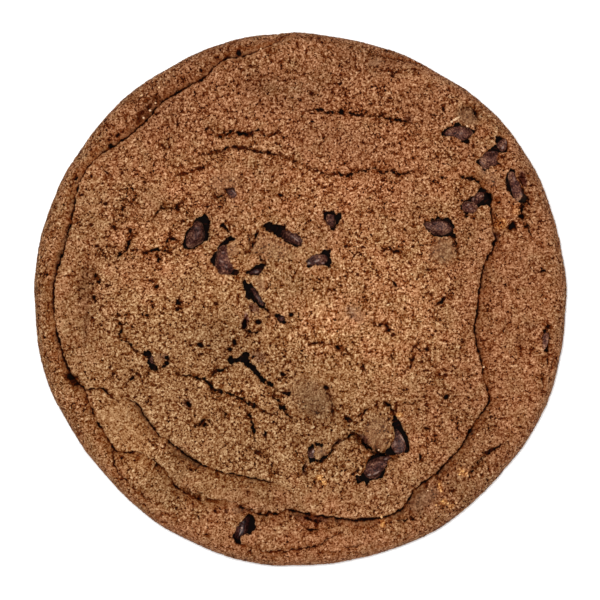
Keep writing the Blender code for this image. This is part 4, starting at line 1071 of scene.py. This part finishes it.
# Chips: shift along x and y, sink, the direction that leans down, the lean, how much the baked
# chip has spread, and how grey it is
CHIP_SETTING = {
    "chip_ne_outer": (-0.3, 0.05, 0.35, -60, 5, 1.1, 0.9),
    "chip_ne_upper_small": (0.1, -0.1, 0.3, 100, 7, 1.12, 0.75),
    "chip_ne_lower": (0, 0, 0.3, -60, 4, 1.15, 0.85),
    "chip_almond_west": (0.15, -0.45, 0.6, 62, 13, 0.86, 0.45),
    "chip_kidney_west": (0.1, -0.5, 0.3, 60, 5, 1.42, 1),
    "chip_crescent_mid": (1.7, -0.8, 0.9, 155, 14, 1, 0.3),
    "chip_triangle_mid": (0.1, -0.3, 0.8, 100, 9, 0.92, 0),
    "chip_sliver_mid": (0.7, -0.25, 1.5, 140, 14, 1, 0.15),
    "chip_speck_mid": (-0.1, 0.2, 1.3, -60, 14, 0.95, 0.1),
    "chip_round_mid": (0, -0.1, 0.5, 90, 8, 0.85, 0.7),
    "chip_glossy_mid": (-0.2, -0.05, 0.4, 0, 8, 1.05, 0.6),
    "chip_east": (0.05, -0.2, 0.4, 60, 7, 1.14, 0.55),
    "chip_east_gap": (-0.2, -0.35, 0.35, -10, 12, 1.05, 1),
    "chip_east_grey": (0.45, 0.1, 0.3, -100, 8, 1.22, 1),
    "chip_almond_east": (0.3, 0, 0.35, 175, 7, 1.12, 1),
    "chip_hollow_west": (0.1, 0, 1.6, 200, 14, 1, 0.2),
    "chip_hollow_mid": (0.2, 0, 2.9, -90, 10, 1, 0),
    "chip_hollow_mid_tail": (0.3, 0.3, 2.7, 215, 14, 1, 0),
    "chip_buried_north": (0.2, 0.1, 0.35, 200, 8, 1.15, 0.8),
    "chip_edge_east": (0.25, 0, 0.5, 180, 8, 0.85, 0.9),
    "chip_crescent_south": (-0.1, -0.3, 0.45, 60, 8, 1, 0.5),
    "chip_glossy_south": (0.45, 0.1, 0.3, 150, 9, 1.2, 0.75),
    "chip_glossy_edge": (-0.5, -0.2, 0.85, 20, 16, 1, 0),
    "chip_ring_south": (-0.3, 0, 0.6, 180, 8, 0.95, 0.25),
}
# Toasted crumbs stuck to the crust: x, y, length, width, angle, how golden
CRUMBS = [
    (29.1, 33.8, 1.7, 0.5, 28, 0), (28.3, 33.3, 0.6, 0.4, 0, 0), (34.3, -12.5, 0.5, 0.4, 30, 0.1),
    (11.6, -5.3, 0.4, 0.3, 0, 0), (31.3, -32.8, 0.6, 0.5, 60, 0.4), (30.4, -32, 0.7, 0.5, 10, 0.9),
    (29.8, -32.6, 0.5, 0.4, 0, 1), (6.6, -28.4, 0.45, 0.35, 0, 0), (14.7, -28, 0.35, 0.3, 0, 0),
    (5.6, -27, 0.35, 0.3, 0, 0.1), (15.2, -40.4, 0.5, 0.9, 10, 0.6), (15.4, -42, 0.4, 0.7, 0, 1),
    (18.6, -21.6, 0.7, 0.4, 40, 0.8), (3.6, -33.1, 0.8, 0.5, 20, 0.9), (4.3, -34, 0.6, 0.4, -30, 1),
    (26, -34.4, 0.45, 0.6, 0, 1), (26.3, -35.6, 0.4, 0.7, 20, 0.9), (26.7, -37.6, 0.7, 0.5, 0, 1),
    (27.6, -38, 0.5, 0.4, 0, 0.7), (25.4, -38.3, 0.4, 0.4, 0, 0.8), (29.2, -37.9, 0.4, 0.4, 0, 0.5),
    (13.2, -36.3, 0.5, 0.4, 0, 0), (14.6, -35.9, 0.4, 0.4, 0, 0), (16.2, -35.2, 0.4, 0.3, 0, 0.1),
    (31.2, 32.5, 0.5, 0.35, -20, 0), (32, 31.4, 0.35, 0.3, 0, 0), (33.2, -25.1, 0.5, 0.4, 0, 0.2),
    (23.9, -35.6, 0.4, 0.3, 0, 0.1), (-7.3, 46.9, 0.4, 0.4, 0, 0.1),
    (-29.6, 38.2, 0.5, 0.4, 40, 0.3), (-26.3, 39.7, 0.5, 0.4, 40, 0.4), (-28, 35.4, 0.5, 0.4, 0, 0),
    (-29.2, 34, 0.45, 0.4, 0, 0), (-27, 36.8, 0.4, 0.4, 0, 0.1),
]
# Painted highlights on the chips: x, y, length, width, angle, amount
GLINTS = {
    "chip_ne_outer": [(31.4, 32.3, 0.8, 0.35, -20, 0.6), (29.8, 31.1, 0.9, 0.4, 0, 0.4),
        (28, 31, 0.6, 0.3, 20, 0.3)],
    "chip_ne_upper_small": [(37.9, 28.5, 0.6, 0.4, 60, 0.6), (38.5, 29.5, 0.4, 0.5, 0, 0.3)],
    "chip_ne_lower": [(34.1, 25.5, 1.2, 0.2, -40, 0.4), (36.2, 27.9, 0.9, 0.4, 50, 0.35)],
    "chip_almond_west": [(-20.1, 9.9, 0.7, 0.35, 20, 0.9), (-19.1, 10.5, 1.6, 0.22, 32, 0.6),
        (-18, 12.4, 0.3, 0.8, 0, 0.3)],
    "chip_kidney_west": [(-16, 7.7, 0.9, 0.22, 50, 0.7), (-13.8, 6.2, 0.5, 0.3, 0, 0.6),
        (-14.6, 7.2, 0.9, 0.3, -30, 0.4), (-14.4, 8.9, 0.5, 0.3, 0, 0.4)],
    "chip_crescent_mid": [(-1.2, 11.7, 0.9, 0.2, -40, 0.6), (-0.6, 11.2, 0.8, 0.2, -40, 0.6)],
    "chip_triangle_mid": [(-8, 5.2, 0.9, 0.3, 10, 0.3)],
    "chip_glossy_mid": [(1.6, 6.8, 0.6, 0.4, 30, 0.8), (3.2, 7.3, 1, 0.35, 20, 0.7),
        (4.3, 6.9, 0.6, 0.3, 0, 0.5)],
    "chip_east": [(24.1, 13.5, 1.2, 0.2, -30, 0.3)],
    "chip_east_gap": [(32.4, 18.8, 0.5, 0.3, 70, 0.5), (33.9, 19.4, 0.5, 0.3, 0, 0.4)],
    "chip_east_grey": [(31.4, 17.8, 0.5, 0.3, 40, 0.5), (31.9, 17, 0.5, 0.3, 0, 0.5)],
    "chip_almond_east": [(40, 22.6, 0.7, 0.3, -70, 0.5), (39.5, 20.7, 0.6, 0.3, -60, 0.3),
        (41.4, 19.7, 0.9, 0.4, -65, 0.35)],
    "chip_edge_east": [(46.2, -8.2, 1.8, 0.25, 88, 0.25)],
    "chip_crescent_south": [(19.1, -25.8, 1.5, 0.2, -54, 0.8), (17.4, -28.4, 1.8, 0.25, 5, 0.5),
        (17.8, -26.8, 0.5, 0.9, 0, 0.3)],
    "chip_glossy_south": [(12.95, -32.8, 0.6, 0.65, 0, 1), (14.1, -32.4, 1.5, 0.28, 32, 0.7),
        (16, -29.7, 0.6, 0.4, 30, 0.5)],
    "chip_glossy_edge": [(-10.8, -42.6, 0.5, 0.35, 0, 1), (-11.1, -43.4, 1.3, 0.2, 65, 0.6)],
    "chip_ring_south": [(2.4, -28.3, 0.3, 0.8, -10, 0.9), (2, -29.4, 0.4, 0.3, 0, 0.4)],
    "chip_buried_north": [(-12.4, 20.2, 1.2, 0.25, -45, 0.4)],
}


def ripple_3d(place, size, seed):
    """The mean of three flat ripples, each seen along one axis and slid by the third."""
    x, y, z = place[..., 0], place[..., 1], place[..., 2]
    total = ripple(x + 0.37 * z, y - 0.51 * z, size, seed)
    total = total + ripple(y + 0.41 * x, z + 0.29 * x, size, seed + 1)
    return (total + ripple(z - 0.33 * y, x + 0.47 * y, size, seed + 2)) / 1.8


def chip_frame(name):
    """A CAD chip's centre, its axes (length, width and up) and half sizes: the axes are those of
    its points' spread, and the one nearest to upright is up."""
    points = node_points(name)
    centre = (points.min(axis=0) + points.max(axis=0)) / 2
    _, axes = np.linalg.eigh(np.cov((points - points.mean(axis=0)).T))
    axes = axes.T[::-1]
    order = np.argsort(np.abs(axes[:, 2]), kind="stable")
    level, up = axes[np.sort(order[:2])], axes[order[2]]
    up = up * np.sign(up[2])
    length = level[0] * (1 if level[0][0] >= 0 else -1)
    axes = np.stack([length, np.cross(up, length), up])
    half = np.abs((points - centre) @ axes.T).max(axis=0)
    return centre, axes, half


def ball_grid(columns, bands):
    """A ball's points, by column round it and band from foot to top, with their two angles."""
    turn, tilt = np.meshgrid(np.linspace(0, 2 * np.pi, columns, endpoint=False),
                             np.linspace(-np.pi / 2, np.pi / 2, bands + 1), indexing="ij")
    ball = np.stack([np.cos(tilt) * np.cos(turn), np.cos(tilt) * np.sin(turn), np.sin(tilt)],
                    axis=-1)
    return turn, tilt, ball


def ball_faces(columns, bands, low, high, tip):
    """The faces of a ball's grid, followed by its foot and top point, and their places on the
    bake map: quads over a box from low to high, and fans that reach past it by tip."""
    numbers = np.arange(columns * bands).reshape(columns, bands)
    around = np.vstack([numbers, numbers[:1]])
    faces = [grid_faces(around),
             triangles(around[1:, 0], around[:-1, 0], columns * bands),
             triangles(around[:-1, -1], around[1:, -1], columns * bands + 1)]
    lines = np.linspace(low[0], high[0], columns + 1)
    left, right = lines[:-1], lines[1:]
    middle = (right + left) / 2
    charts = [grid_chart(columns + 1, bands, low, high),
              chart_corners((right, low[1]), (left, low[1]), (middle, low[1] - tip)),
              chart_corners((left, high[1]), (right, high[1]), (middle, high[1] + tip))]
    return faces, charts


def chip_shape(half, number, seed):
    """A chip about its own centre: a ball pressed into soft flat sides (the power mean of its
    distances to random planes), fitted to the half sizes, with dents and a fine broken grain
    along the ball's rays. Gives the points and the height of the grain."""
    turn, tilt, ball = ball_grid(CHIP_COLUMNS, CHIP_BANDS)
    level = np.cos(tilt) ** CHIP_SQUARENESS
    square = np.stack([level * np.cos(turn), level * np.sin(turn), np.sin(tilt)], axis=-1)
    dice = np.random.default_rng(CHIP_DICE + number)
    planes = dice.normal(size=(CHIP_SIDES, 3))
    planes /= np.linalg.norm(planes, axis=1)[:, None]
    reach = dice.uniform(*CHIP_SIDE_REACH, CHIP_SIDES)
    press = (np.clip(ball @ planes.T, 0, None) / reach) ** CHIP_SHARPNESS
    radius = (0.2 + press.sum(axis=-1)) ** (-1 / CHIP_SHARPNESS)
    shape = square * radius[..., None]
    shape = shape / np.abs(shape).reshape(-1, 3).max(axis=0) * half
    bump = 0.16 * ripple_3d(shape, 1.7, seed) + 0.07 * ripple_3d(shape, 0.7, seed + 3)
    bump = bump + 0.03 * ripple_3d(shape, 0.32, seed + 6)
    return shape + ball * bump[..., None] * np.clip(half.min() / 1.2, 0.4, 1), bump


def lean_over(points, toward, lean):
    """Points turned by the lean about a level axle, so that the direction toward goes down."""
    heading, angle = math.radians(toward), math.radians(lean)
    axle = np.array([-math.sin(heading), math.cos(heading), 0.0])
    cosine, sine = math.cos(angle), math.sin(angle)
    return (points * cosine + np.cross(axle, points) * sine
            + (points @ axle)[..., None] * axle * (1 - cosine))


def make_chip(name, number, material):
    """A chip in its CAD chip's place, shifted, sunk and leaned as its setting says."""
    shift_x, shift_y, sink, toward, lean, spread, grey = CHIP_SETTING[name]
    seed = CHIP_SEED + 10 * number
    centre, axes, half = chip_frame(name)
    shape, bump = chip_shape(half * [spread, spread, 1], number, seed)
    points = lean_over(shape @ axes, toward, lean)
    points = points + centre + np.array([shift_x, shift_y, -sink])
    body = points[:, 1:-1]
    flat = body.reshape(-1, 3)
    poles = np.stack([points[:, 0].mean(axis=0), points[:, -1].mean(axis=0)])
    faces, charts = ball_faces(*body.shape[:2], (0.01, 0.03), (0.99, 0.97), 0.02)
    shade = np.clip(0.5 - 2.5 * bump, 0, 1)[:, 1:-1].ravel()
    glint = np.zeros(len(shade))
    # Painted highlights on the chip's upper half
    for x, y, length, width, angle, amount in GLINTS.get(name, []):
        away = oval(flat[:, 0] - x, flat[:, 1] - y, length, width, angle)
        away = away + 0.5 * ripple(flat[:, 0], flat[:, 1], 0.35, seed + 9)
        bright = amount * smooth_step(1.5, 0.4, away) * (flat[:, 2] > centre[2])
        glint = np.maximum(glint, bright)
    fields = {"shade": np.concatenate([shade, [0.5, 0.5]]),
              "glint": np.concatenate([glint, [0, 0]]),
              "bloom": np.full(len(shade) + 2, grey)}
    piece = add_piece(name + "_baked", np.vstack([flat, poles]), faces, charts, fields, material)
    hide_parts(name)
    return piece


def make_crumbs(material, crust):
    """The crumbs as one piece: each is a lumpy ball, drawn out to its length and width and half
    sunk in the crust at its place, whose height is that of the nearest point of the crust."""
    ball = ball_grid(CRUMB_COLUMNS, CRUMB_BANDS)[2][:, 1:-1]
    count = ball[..., 0].size + 2
    rows = math.ceil(len(CRUMBS) ** 0.5)
    points, golds, quads, fans, quad_charts, fan_charts = [], [], [], [], [], []
    for number, (x, y, length, width, angle, gold) in enumerate(CRUMBS):
        lump = 1 + 0.25 * ripple_3d(ball * 1.3 + number, 1.0, 900)
        shape = ball * lump[..., None] * [length / 2, width / 2, min(length, width) * 0.45]
        away = (crust[:, 0] - x) ** 2 + (crust[:, 1] - y) ** 2
        height = crust[np.argmin(away), 2]
        heading = math.radians(angle)
        cosine, sine = math.cos(heading), math.sin(heading)
        place = np.stack([x + shape[..., 0] * cosine - shape[..., 1] * sine,
                          y + shape[..., 0] * sine + shape[..., 1] * cosine,
                          height + 0.08 + shape[..., 2]], axis=-1)
        poles = np.stack([place[:, 0].mean(axis=0), place[:, -1].mean(axis=0)])
        points += [place.reshape(-1, 3), poles]
        golds += [gold] * count
        corner = np.array([number % rows, number // rows]) / rows
        faces, charts = ball_faces(*ball.shape[:2], corner + 0.06 / rows, corner + 0.94 / rows,
                                   0.04 / rows)
        faces = [number * count + part for part in faces]
        quads.append(faces[0])
        fans += faces[1:]
        quad_charts.append(charts[0])
        fan_charts += charts[1:]
    fields = {"gold": np.array(golds, dtype=float)}
    return add_piece("toasted_crumbs", np.vstack(points), quads + fans, quad_charts + fan_charts,
                     fields, material)


def node(tree, kind, inputs=None, **settings):
    """Add a shader node, with values or links on its inputs."""
    made = tree.nodes.new(kind)
    for name, value in settings.items():
        setattr(made, name, value)
    for name, value in (inputs or {}).items():
        if isinstance(value, bpy.types.NodeSocket):
            tree.links.new(value, made.inputs[name])
        else:
            made.inputs[name].default_value = value
    return made


def blend(tree, share, first, second, how="MIX"):
    """Mix two colours by a share."""
    made = node(tree, "ShaderNodeMix", {0: share, 6: first, 7: second}, data_type="RGBA",
                blend_type=how)
    return made.outputs[2]


def step(tree, how, first, second, third=0.0, clamp=False):
    """One arithmetic step."""
    made = node(tree, "ShaderNodeMath", {0: first, 1: second, 2: third}, operation=how,
                use_clamp=clamp)
    return made.outputs[0]


def product(tree, first, second):
    """One value times another."""
    return step(tree, "MULTIPLY", first, second)


def scaled(tree, value, factor, plus, clamp=False):
    """A value times a factor, plus another value, and kept from 0 to 1 if clamp is on."""
    return step(tree, "MULTIPLY_ADD", value, factor, plus, clamp)


def field(tree, name):
    """A number stored on the piece's points."""
    return node(tree, "ShaderNodeAttribute", attribute_name=name).outputs["Fac"]


def speckle(tree, place, size, detail=2.0, slide=0.0):
    """Noise whose lumps are about this many millimetres across, centred on zero. The slide, in
    metres, gives each its own stretch of the noise."""
    slid = node(tree, "ShaderNodeMapping", {"Vector": place, "Location": (slide, -slide, slide)})
    made = node(tree, "ShaderNodeTexNoise",
                {"Vector": slid.outputs[0], "Scale": 1 / (size * MM), "Detail": detail,
                 "Roughness": 0.55})
    return step(tree, "SUBTRACT", made.outputs["Fac"], 0.5)


def crackle(tree, place, size, width):
    """Fine crazing: 1 along the borders of wandering cells of this size, both in millimetres."""
    stir = node(tree, "ShaderNodeTexNoise",
                {"Vector": place, "Scale": 2.7 / (size * MM), "Detail": 2.0})
    offset = node(tree, "ShaderNodeVectorMath",
                  {0: stir.outputs["Color"], "Scale": 0.53 * size * MM}, operation="SCALE")
    moved = node(tree, "ShaderNodeVectorMath", {0: place, 1: offset.outputs[0]}, operation="ADD")
    cells = node(tree, "ShaderNodeTexVoronoi",
                 {"Vector": moved.outputs[0], "Scale": 1 / (size * MM)},
                 feature="DISTANCE_TO_EDGE")
    return scaled(tree, cells.outputs["Distance"], -size / width, 1.6, clamp=True)


def ramp(tree, value, stops):
    """A colour ramp through (place, colour) stops."""
    made = node(tree, "ShaderNodeValToRGB", {0: value})
    elements = made.color_ramp.elements
    while len(elements) < len(stops):
        elements.new(0.5)
    for element, (place, colour) in zip(elements, stops):
        element.position = place
        element.color = (*colour, 1.0)
    return made.outputs["Color"]


def make_crumb_group():
    """Crust colour: a ramp from the pale tops of the grain to its dark hollows, whose dark end is
    painted shade, drifting between pinkish, yellowish and olive browns, with thin film, amber
    sugar and oven browning over it."""
    tree = bpy.data.node_groups.new("crumb_colour", "ShaderNodeTree")
    for name in CRUST_FIELDS:
        tree.interface.new_socket(name.capitalize(), in_out="INPUT", socket_type="NodeSocketFloat")
    for name, kind in (("Color", "Color"), ("Roughness", "Float"), ("Height", "Float")):
        tree.interface.new_socket(name, in_out="OUTPUT", socket_type="NodeSocket" + kind)
    entry = tree.nodes.new("NodeGroupInput").outputs
    leave = tree.nodes.new("NodeGroupOutput").inputs
    place = node(tree, "ShaderNodeTexCoord").outputs["Object"]
    fine = speckle(tree, place, 0.36, 2.0, 0.013)
    grit = speckle(tree, place, 0.22, 1.0, 0.069)
    patchy = speckle(tree, place, 2.4, 2.0, 0.027)
    broad = speckle(tree, place, 14.0, 1.0, 0.041)
    hue = speckle(tree, place, 3.0, 4.0, 0.055)
    # The fine grain, strongest where it is darkest, and faint on calm crust and in hollows
    grain = product(tree, grit, 1.15)
    grain = scaled(tree, fine, 2.0, grain)
    grain = scaled(tree, product(tree, grain, grain), 0.7, grain)
    grain = scaled(tree, patchy, 0.16, grain)
    lit = scaled(tree, entry["Shade"], -1.6, 1.6, clamp=True)
    lit = product(tree, lit, scaled(tree, entry["Calm"], -0.38, 1.0))
    # Two sizes of crazing, each kept to some places
    for size, width, spots, slide, gain, amount in ((1.5, 0.06, 0.9, 0.081, 9.0, 0.48),
                                                    (3.0, 0.1, 3.4, 0.097, 6.0, 0.4)):
        dash = crackle(tree, place, size, width)
        where = scaled(tree, speckle(tree, place, spots, 2.0, slide), gain, 0.1, clamp=True)
        grain = scaled(tree, product(tree, dash, where), amount, grain)
    level = scaled(tree, grain, lit, entry["Shade"], clamp=True)
    # The ramp's darkest stops, down to near black, are the painted shade of hollows, cracks and
    # openings
    colour = ramp(tree, level, [
        (0.0, (0.52, 0.32, 0.19)), (0.12, (0.405, 0.22, 0.118)), (0.26, (0.3, 0.148, 0.073)),
        (0.4, (0.232, 0.103, 0.046)), (0.54, (0.168, 0.0635, 0.022)),
        (0.7, (0.105, 0.0225, 0.003)), (0.86, (0.042, 0.005, 0.0005)),
        (1.0, (0.0022, 0.0011, 0.0009))])
    red = blend(tree, 1.0, colour, (1.07, 0.97, 0.93, 1.0), "MULTIPLY")
    olive = blend(tree, 1.0, colour, (0.94, 1.03, 0.96, 1.0), "MULTIPLY")
    swing = scaled(tree, hue, 2.2, 0.42)
    swing = scaled(tree, entry["Ruddy"], 0.5, swing, clamp=True)
    colour = blend(tree, swing, olive, red)
    # Darker by tone over broad areas: partly the crust's own browning, partly painted shade
    dim = scaled(tree, broad, 0.35, 1.0)
    dim = scaled(tree, entry["Tone"], -1.0, dim)
    colour = node(tree, "ShaderNodeVectorMath", {0: colour, "Scale": dim},
                  operation="SCALE").outputs[0]
    filmed = blend(tree, 0.5, colour, (0.168, 0.088, 0.046, 1.0))
    colour = blend(tree, entry["Film"], colour, filmed)
    for name, tint in (("Amber", (1.75, 1.6, 1.0, 1.0)), ("Brown", (0.52, 0.42, 0.36, 1.0)),
                       ("Smear", (0.24, 0.12, 0.24, 1.0)), ("Baked", (0.72, 0.58, 0.46, 1.0))):
        tinted = blend(tree, 1.0, colour, tint, "MULTIPLY")
        colour = blend(tree, entry[name], colour, tinted)
    tree.links.new(colour, leave["Color"])
    dull = scaled(tree, entry["Film"], -0.22, 0.82)
    tree.links.new(scaled(tree, fine, 0.3, dull), leave["Roughness"])
    tree.links.new(fine, leave["Height"])
    return tree


def new_material(name, roughness=None, specular=None):
    """A material with its tree and its Principled shader."""
    material = bpy.data.materials.new(name)
    material.use_nodes = True
    shader = material.node_tree.nodes["Principled BSDF"]
    if roughness is not None:
        shader.inputs["Roughness"].default_value = roughness
    if specular is not None:
        shader.inputs["Specular IOR Level"].default_value = specular
    return material, material.node_tree, shader


def make_crust_material():
    """Dry baked crust."""
    material, tree, shader = new_material("baked_crust", specular=0.03)
    crumb = node(tree, "ShaderNodeGroup", node_tree=make_crumb_group())
    for name in CRUST_FIELDS:
        tree.links.new(field(tree, name), crumb.inputs[name.capitalize()])
    tree.links.new(crumb.outputs["Color"], shader.inputs["Base Color"])
    tree.links.new(crumb.outputs["Roughness"], shader.inputs["Roughness"])
    bump = node(tree, "ShaderNodeBump", {"Height": crumb.outputs["Height"], "Strength": 0.35,
                                         "Distance": 0.12 * MM})
    tree.links.new(bump.outputs["Normal"], shader.inputs["Normal"])
    return material


def make_crumb_material():
    """Pale toasted crumb, cream to golden, with a finer mottle."""
    material, tree, shader = new_material("toasted_crumb", roughness=0.75, specular=0.1)
    place = node(tree, "ShaderNodeTexCoord").outputs["Object"]
    level = scaled(tree, speckle(tree, place, 0.25, 2.0, 0.013), 2.4, 0.4, clamp=True)
    cream = ramp(tree, level, [(0.0, (0.72, 0.5, 0.32)), (0.5, (0.5, 0.3, 0.165)),
                               (1.0, (0.26, 0.12, 0.05))])
    golden = ramp(tree, level, [(0.0, (0.72, 0.42, 0.16)), (0.5, (0.5, 0.235, 0.07)),
                                (1.0, (0.27, 0.095, 0.02))])
    tree.links.new(blend(tree, field(tree, "gold"), cream, golden), shader.inputs["Base Color"])
    return material


def make_chocolate_material():
    """Baked chocolate: near-black brown under a thin grey-purple bloom, softly glossy, with painted
    highlights.
    """
    material, tree, shader = new_material("baked_chocolate", specular=0.08)
    place = node(tree, "ShaderNodeTexCoord").outputs["Object"]
    fine = speckle(tree, place, 0.3, 3.0, 0.013)
    patchy = speckle(tree, place, 1.2, 2.0, 0.027)
    level = scaled(tree, fine, 2.4, field(tree, "shade"))
    level = scaled(tree, patchy, 0.9, level, clamp=True)
    bloomed = ramp(tree, level, [
        (0.0, (0.27, 0.135, 0.078)), (0.25, (0.118, 0.046, 0.0275)),
        (0.6, (0.052, 0.0135, 0.009)), (1.0, (0.006, 0.0016, 0.0012))])
    bare = ramp(tree, level, [
        (0.0, (0.058, 0.0185, 0.0135)), (0.45, (0.0165, 0.0044, 0.0036)),
        (1.0, (0.003, 0.0011, 0.001))])
    colour = blend(tree, field(tree, "bloom"), bare, bloomed)
    # The painted highlights
    colour = blend(tree, field(tree, "glint"), colour, (0.26, 0.17, 0.14, 1.0))
    tree.links.new(colour, shader.inputs["Base Color"])
    dull = scaled(tree, field(tree, "bloom"), 0.3, 0.35)
    tree.links.new(scaled(tree, patchy, 0.4, dull), shader.inputs["Roughness"])
    bump = node(tree, "ShaderNodeBump", {"Height": fine, "Strength": 0.4, "Distance": 0.1 * MM})
    tree.links.new(bump.outputs["Normal"], shader.inputs["Normal"])
    return material


def make_stage():
    """A plain pale floor, soft light from above and around, and a camera straight overhead."""
    mesh = bpy.data.meshes.new("floor")
    mesh.from_pydata([(-2, -2, 0), (2, -2, 0), (2, 2, 0), (-2, 2, 0)], [], [(0, 1, 2, 3)])
    material, _, shader = new_material("pale_floor", roughness=0.9)
    shader.inputs["Base Color"].default_value = (FLOOR_GREY, FLOOR_GREY, FLOOR_GREY, 1.0)
    shader.inputs["Emission Color"].default_value = (1.0, 1.0, 1.0, 1.0)
    shader.inputs["Emission Strength"].default_value = FLOOR_GLOW
    mesh.materials.append(material)
    link("floor", mesh)
    for name, (size, power, place) in LIGHTS.items():
        light = bpy.data.lights.new(name, "AREA")
        light.size = size
        light.energy = power
        lamp = link(name, light)
        lamp.location = place
        away = -np.array(place)
        lamp.rotation_euler = (
            math.atan2(math.hypot(away[0], away[1]), -away[2]), 0,
            math.atan2(away[1], away[0]) - math.pi / 2)
    world = bpy.data.worlds.new("studio")
    world.use_nodes = True
    sky = world.node_tree.nodes["Background"]
    sky.inputs["Color"].default_value = (1.0, 1.0, 1.0, 1.0)
    sky.inputs["Strength"].default_value = SKY_STRENGTH
    bpy.context.scene.world = world
    lens = bpy.data.cameras.new("camera")
    lens.sensor_width = SENSOR_WIDTH
    lens.lens = SENSOR_WIDTH * (CAMERA_HEIGHT - SIDE_HEIGHT * MM) / FRAME_WIDTH
    lens.clip_start = 0.01
    lens.clip_end = 10.0
    camera = link("camera", lens)
    camera.location = (0.0, 0.0, CAMERA_HEIGHT)
    bpy.context.scene.camera = camera
    bpy.context.scene.view_settings.view_transform = "Standard"


def main():
    """The crust's pieces stand for the dough, each chip for its own, and the crumbs are extra."""
    crust = make_crust_material()
    chocolate = make_chocolate_material()
    made, top = make_top(crust)
    sides, rim = make_side(crust)
    made += sides
    made.append(make_base(crust, rim))
    for piece in made:
        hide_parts("cookie_dough")
    for number, name in enumerate(CHIP_SETTING):
        make_chip(name, number, chocolate)
    make_crumbs(make_crumb_material(), top)
    make_stage()


main()
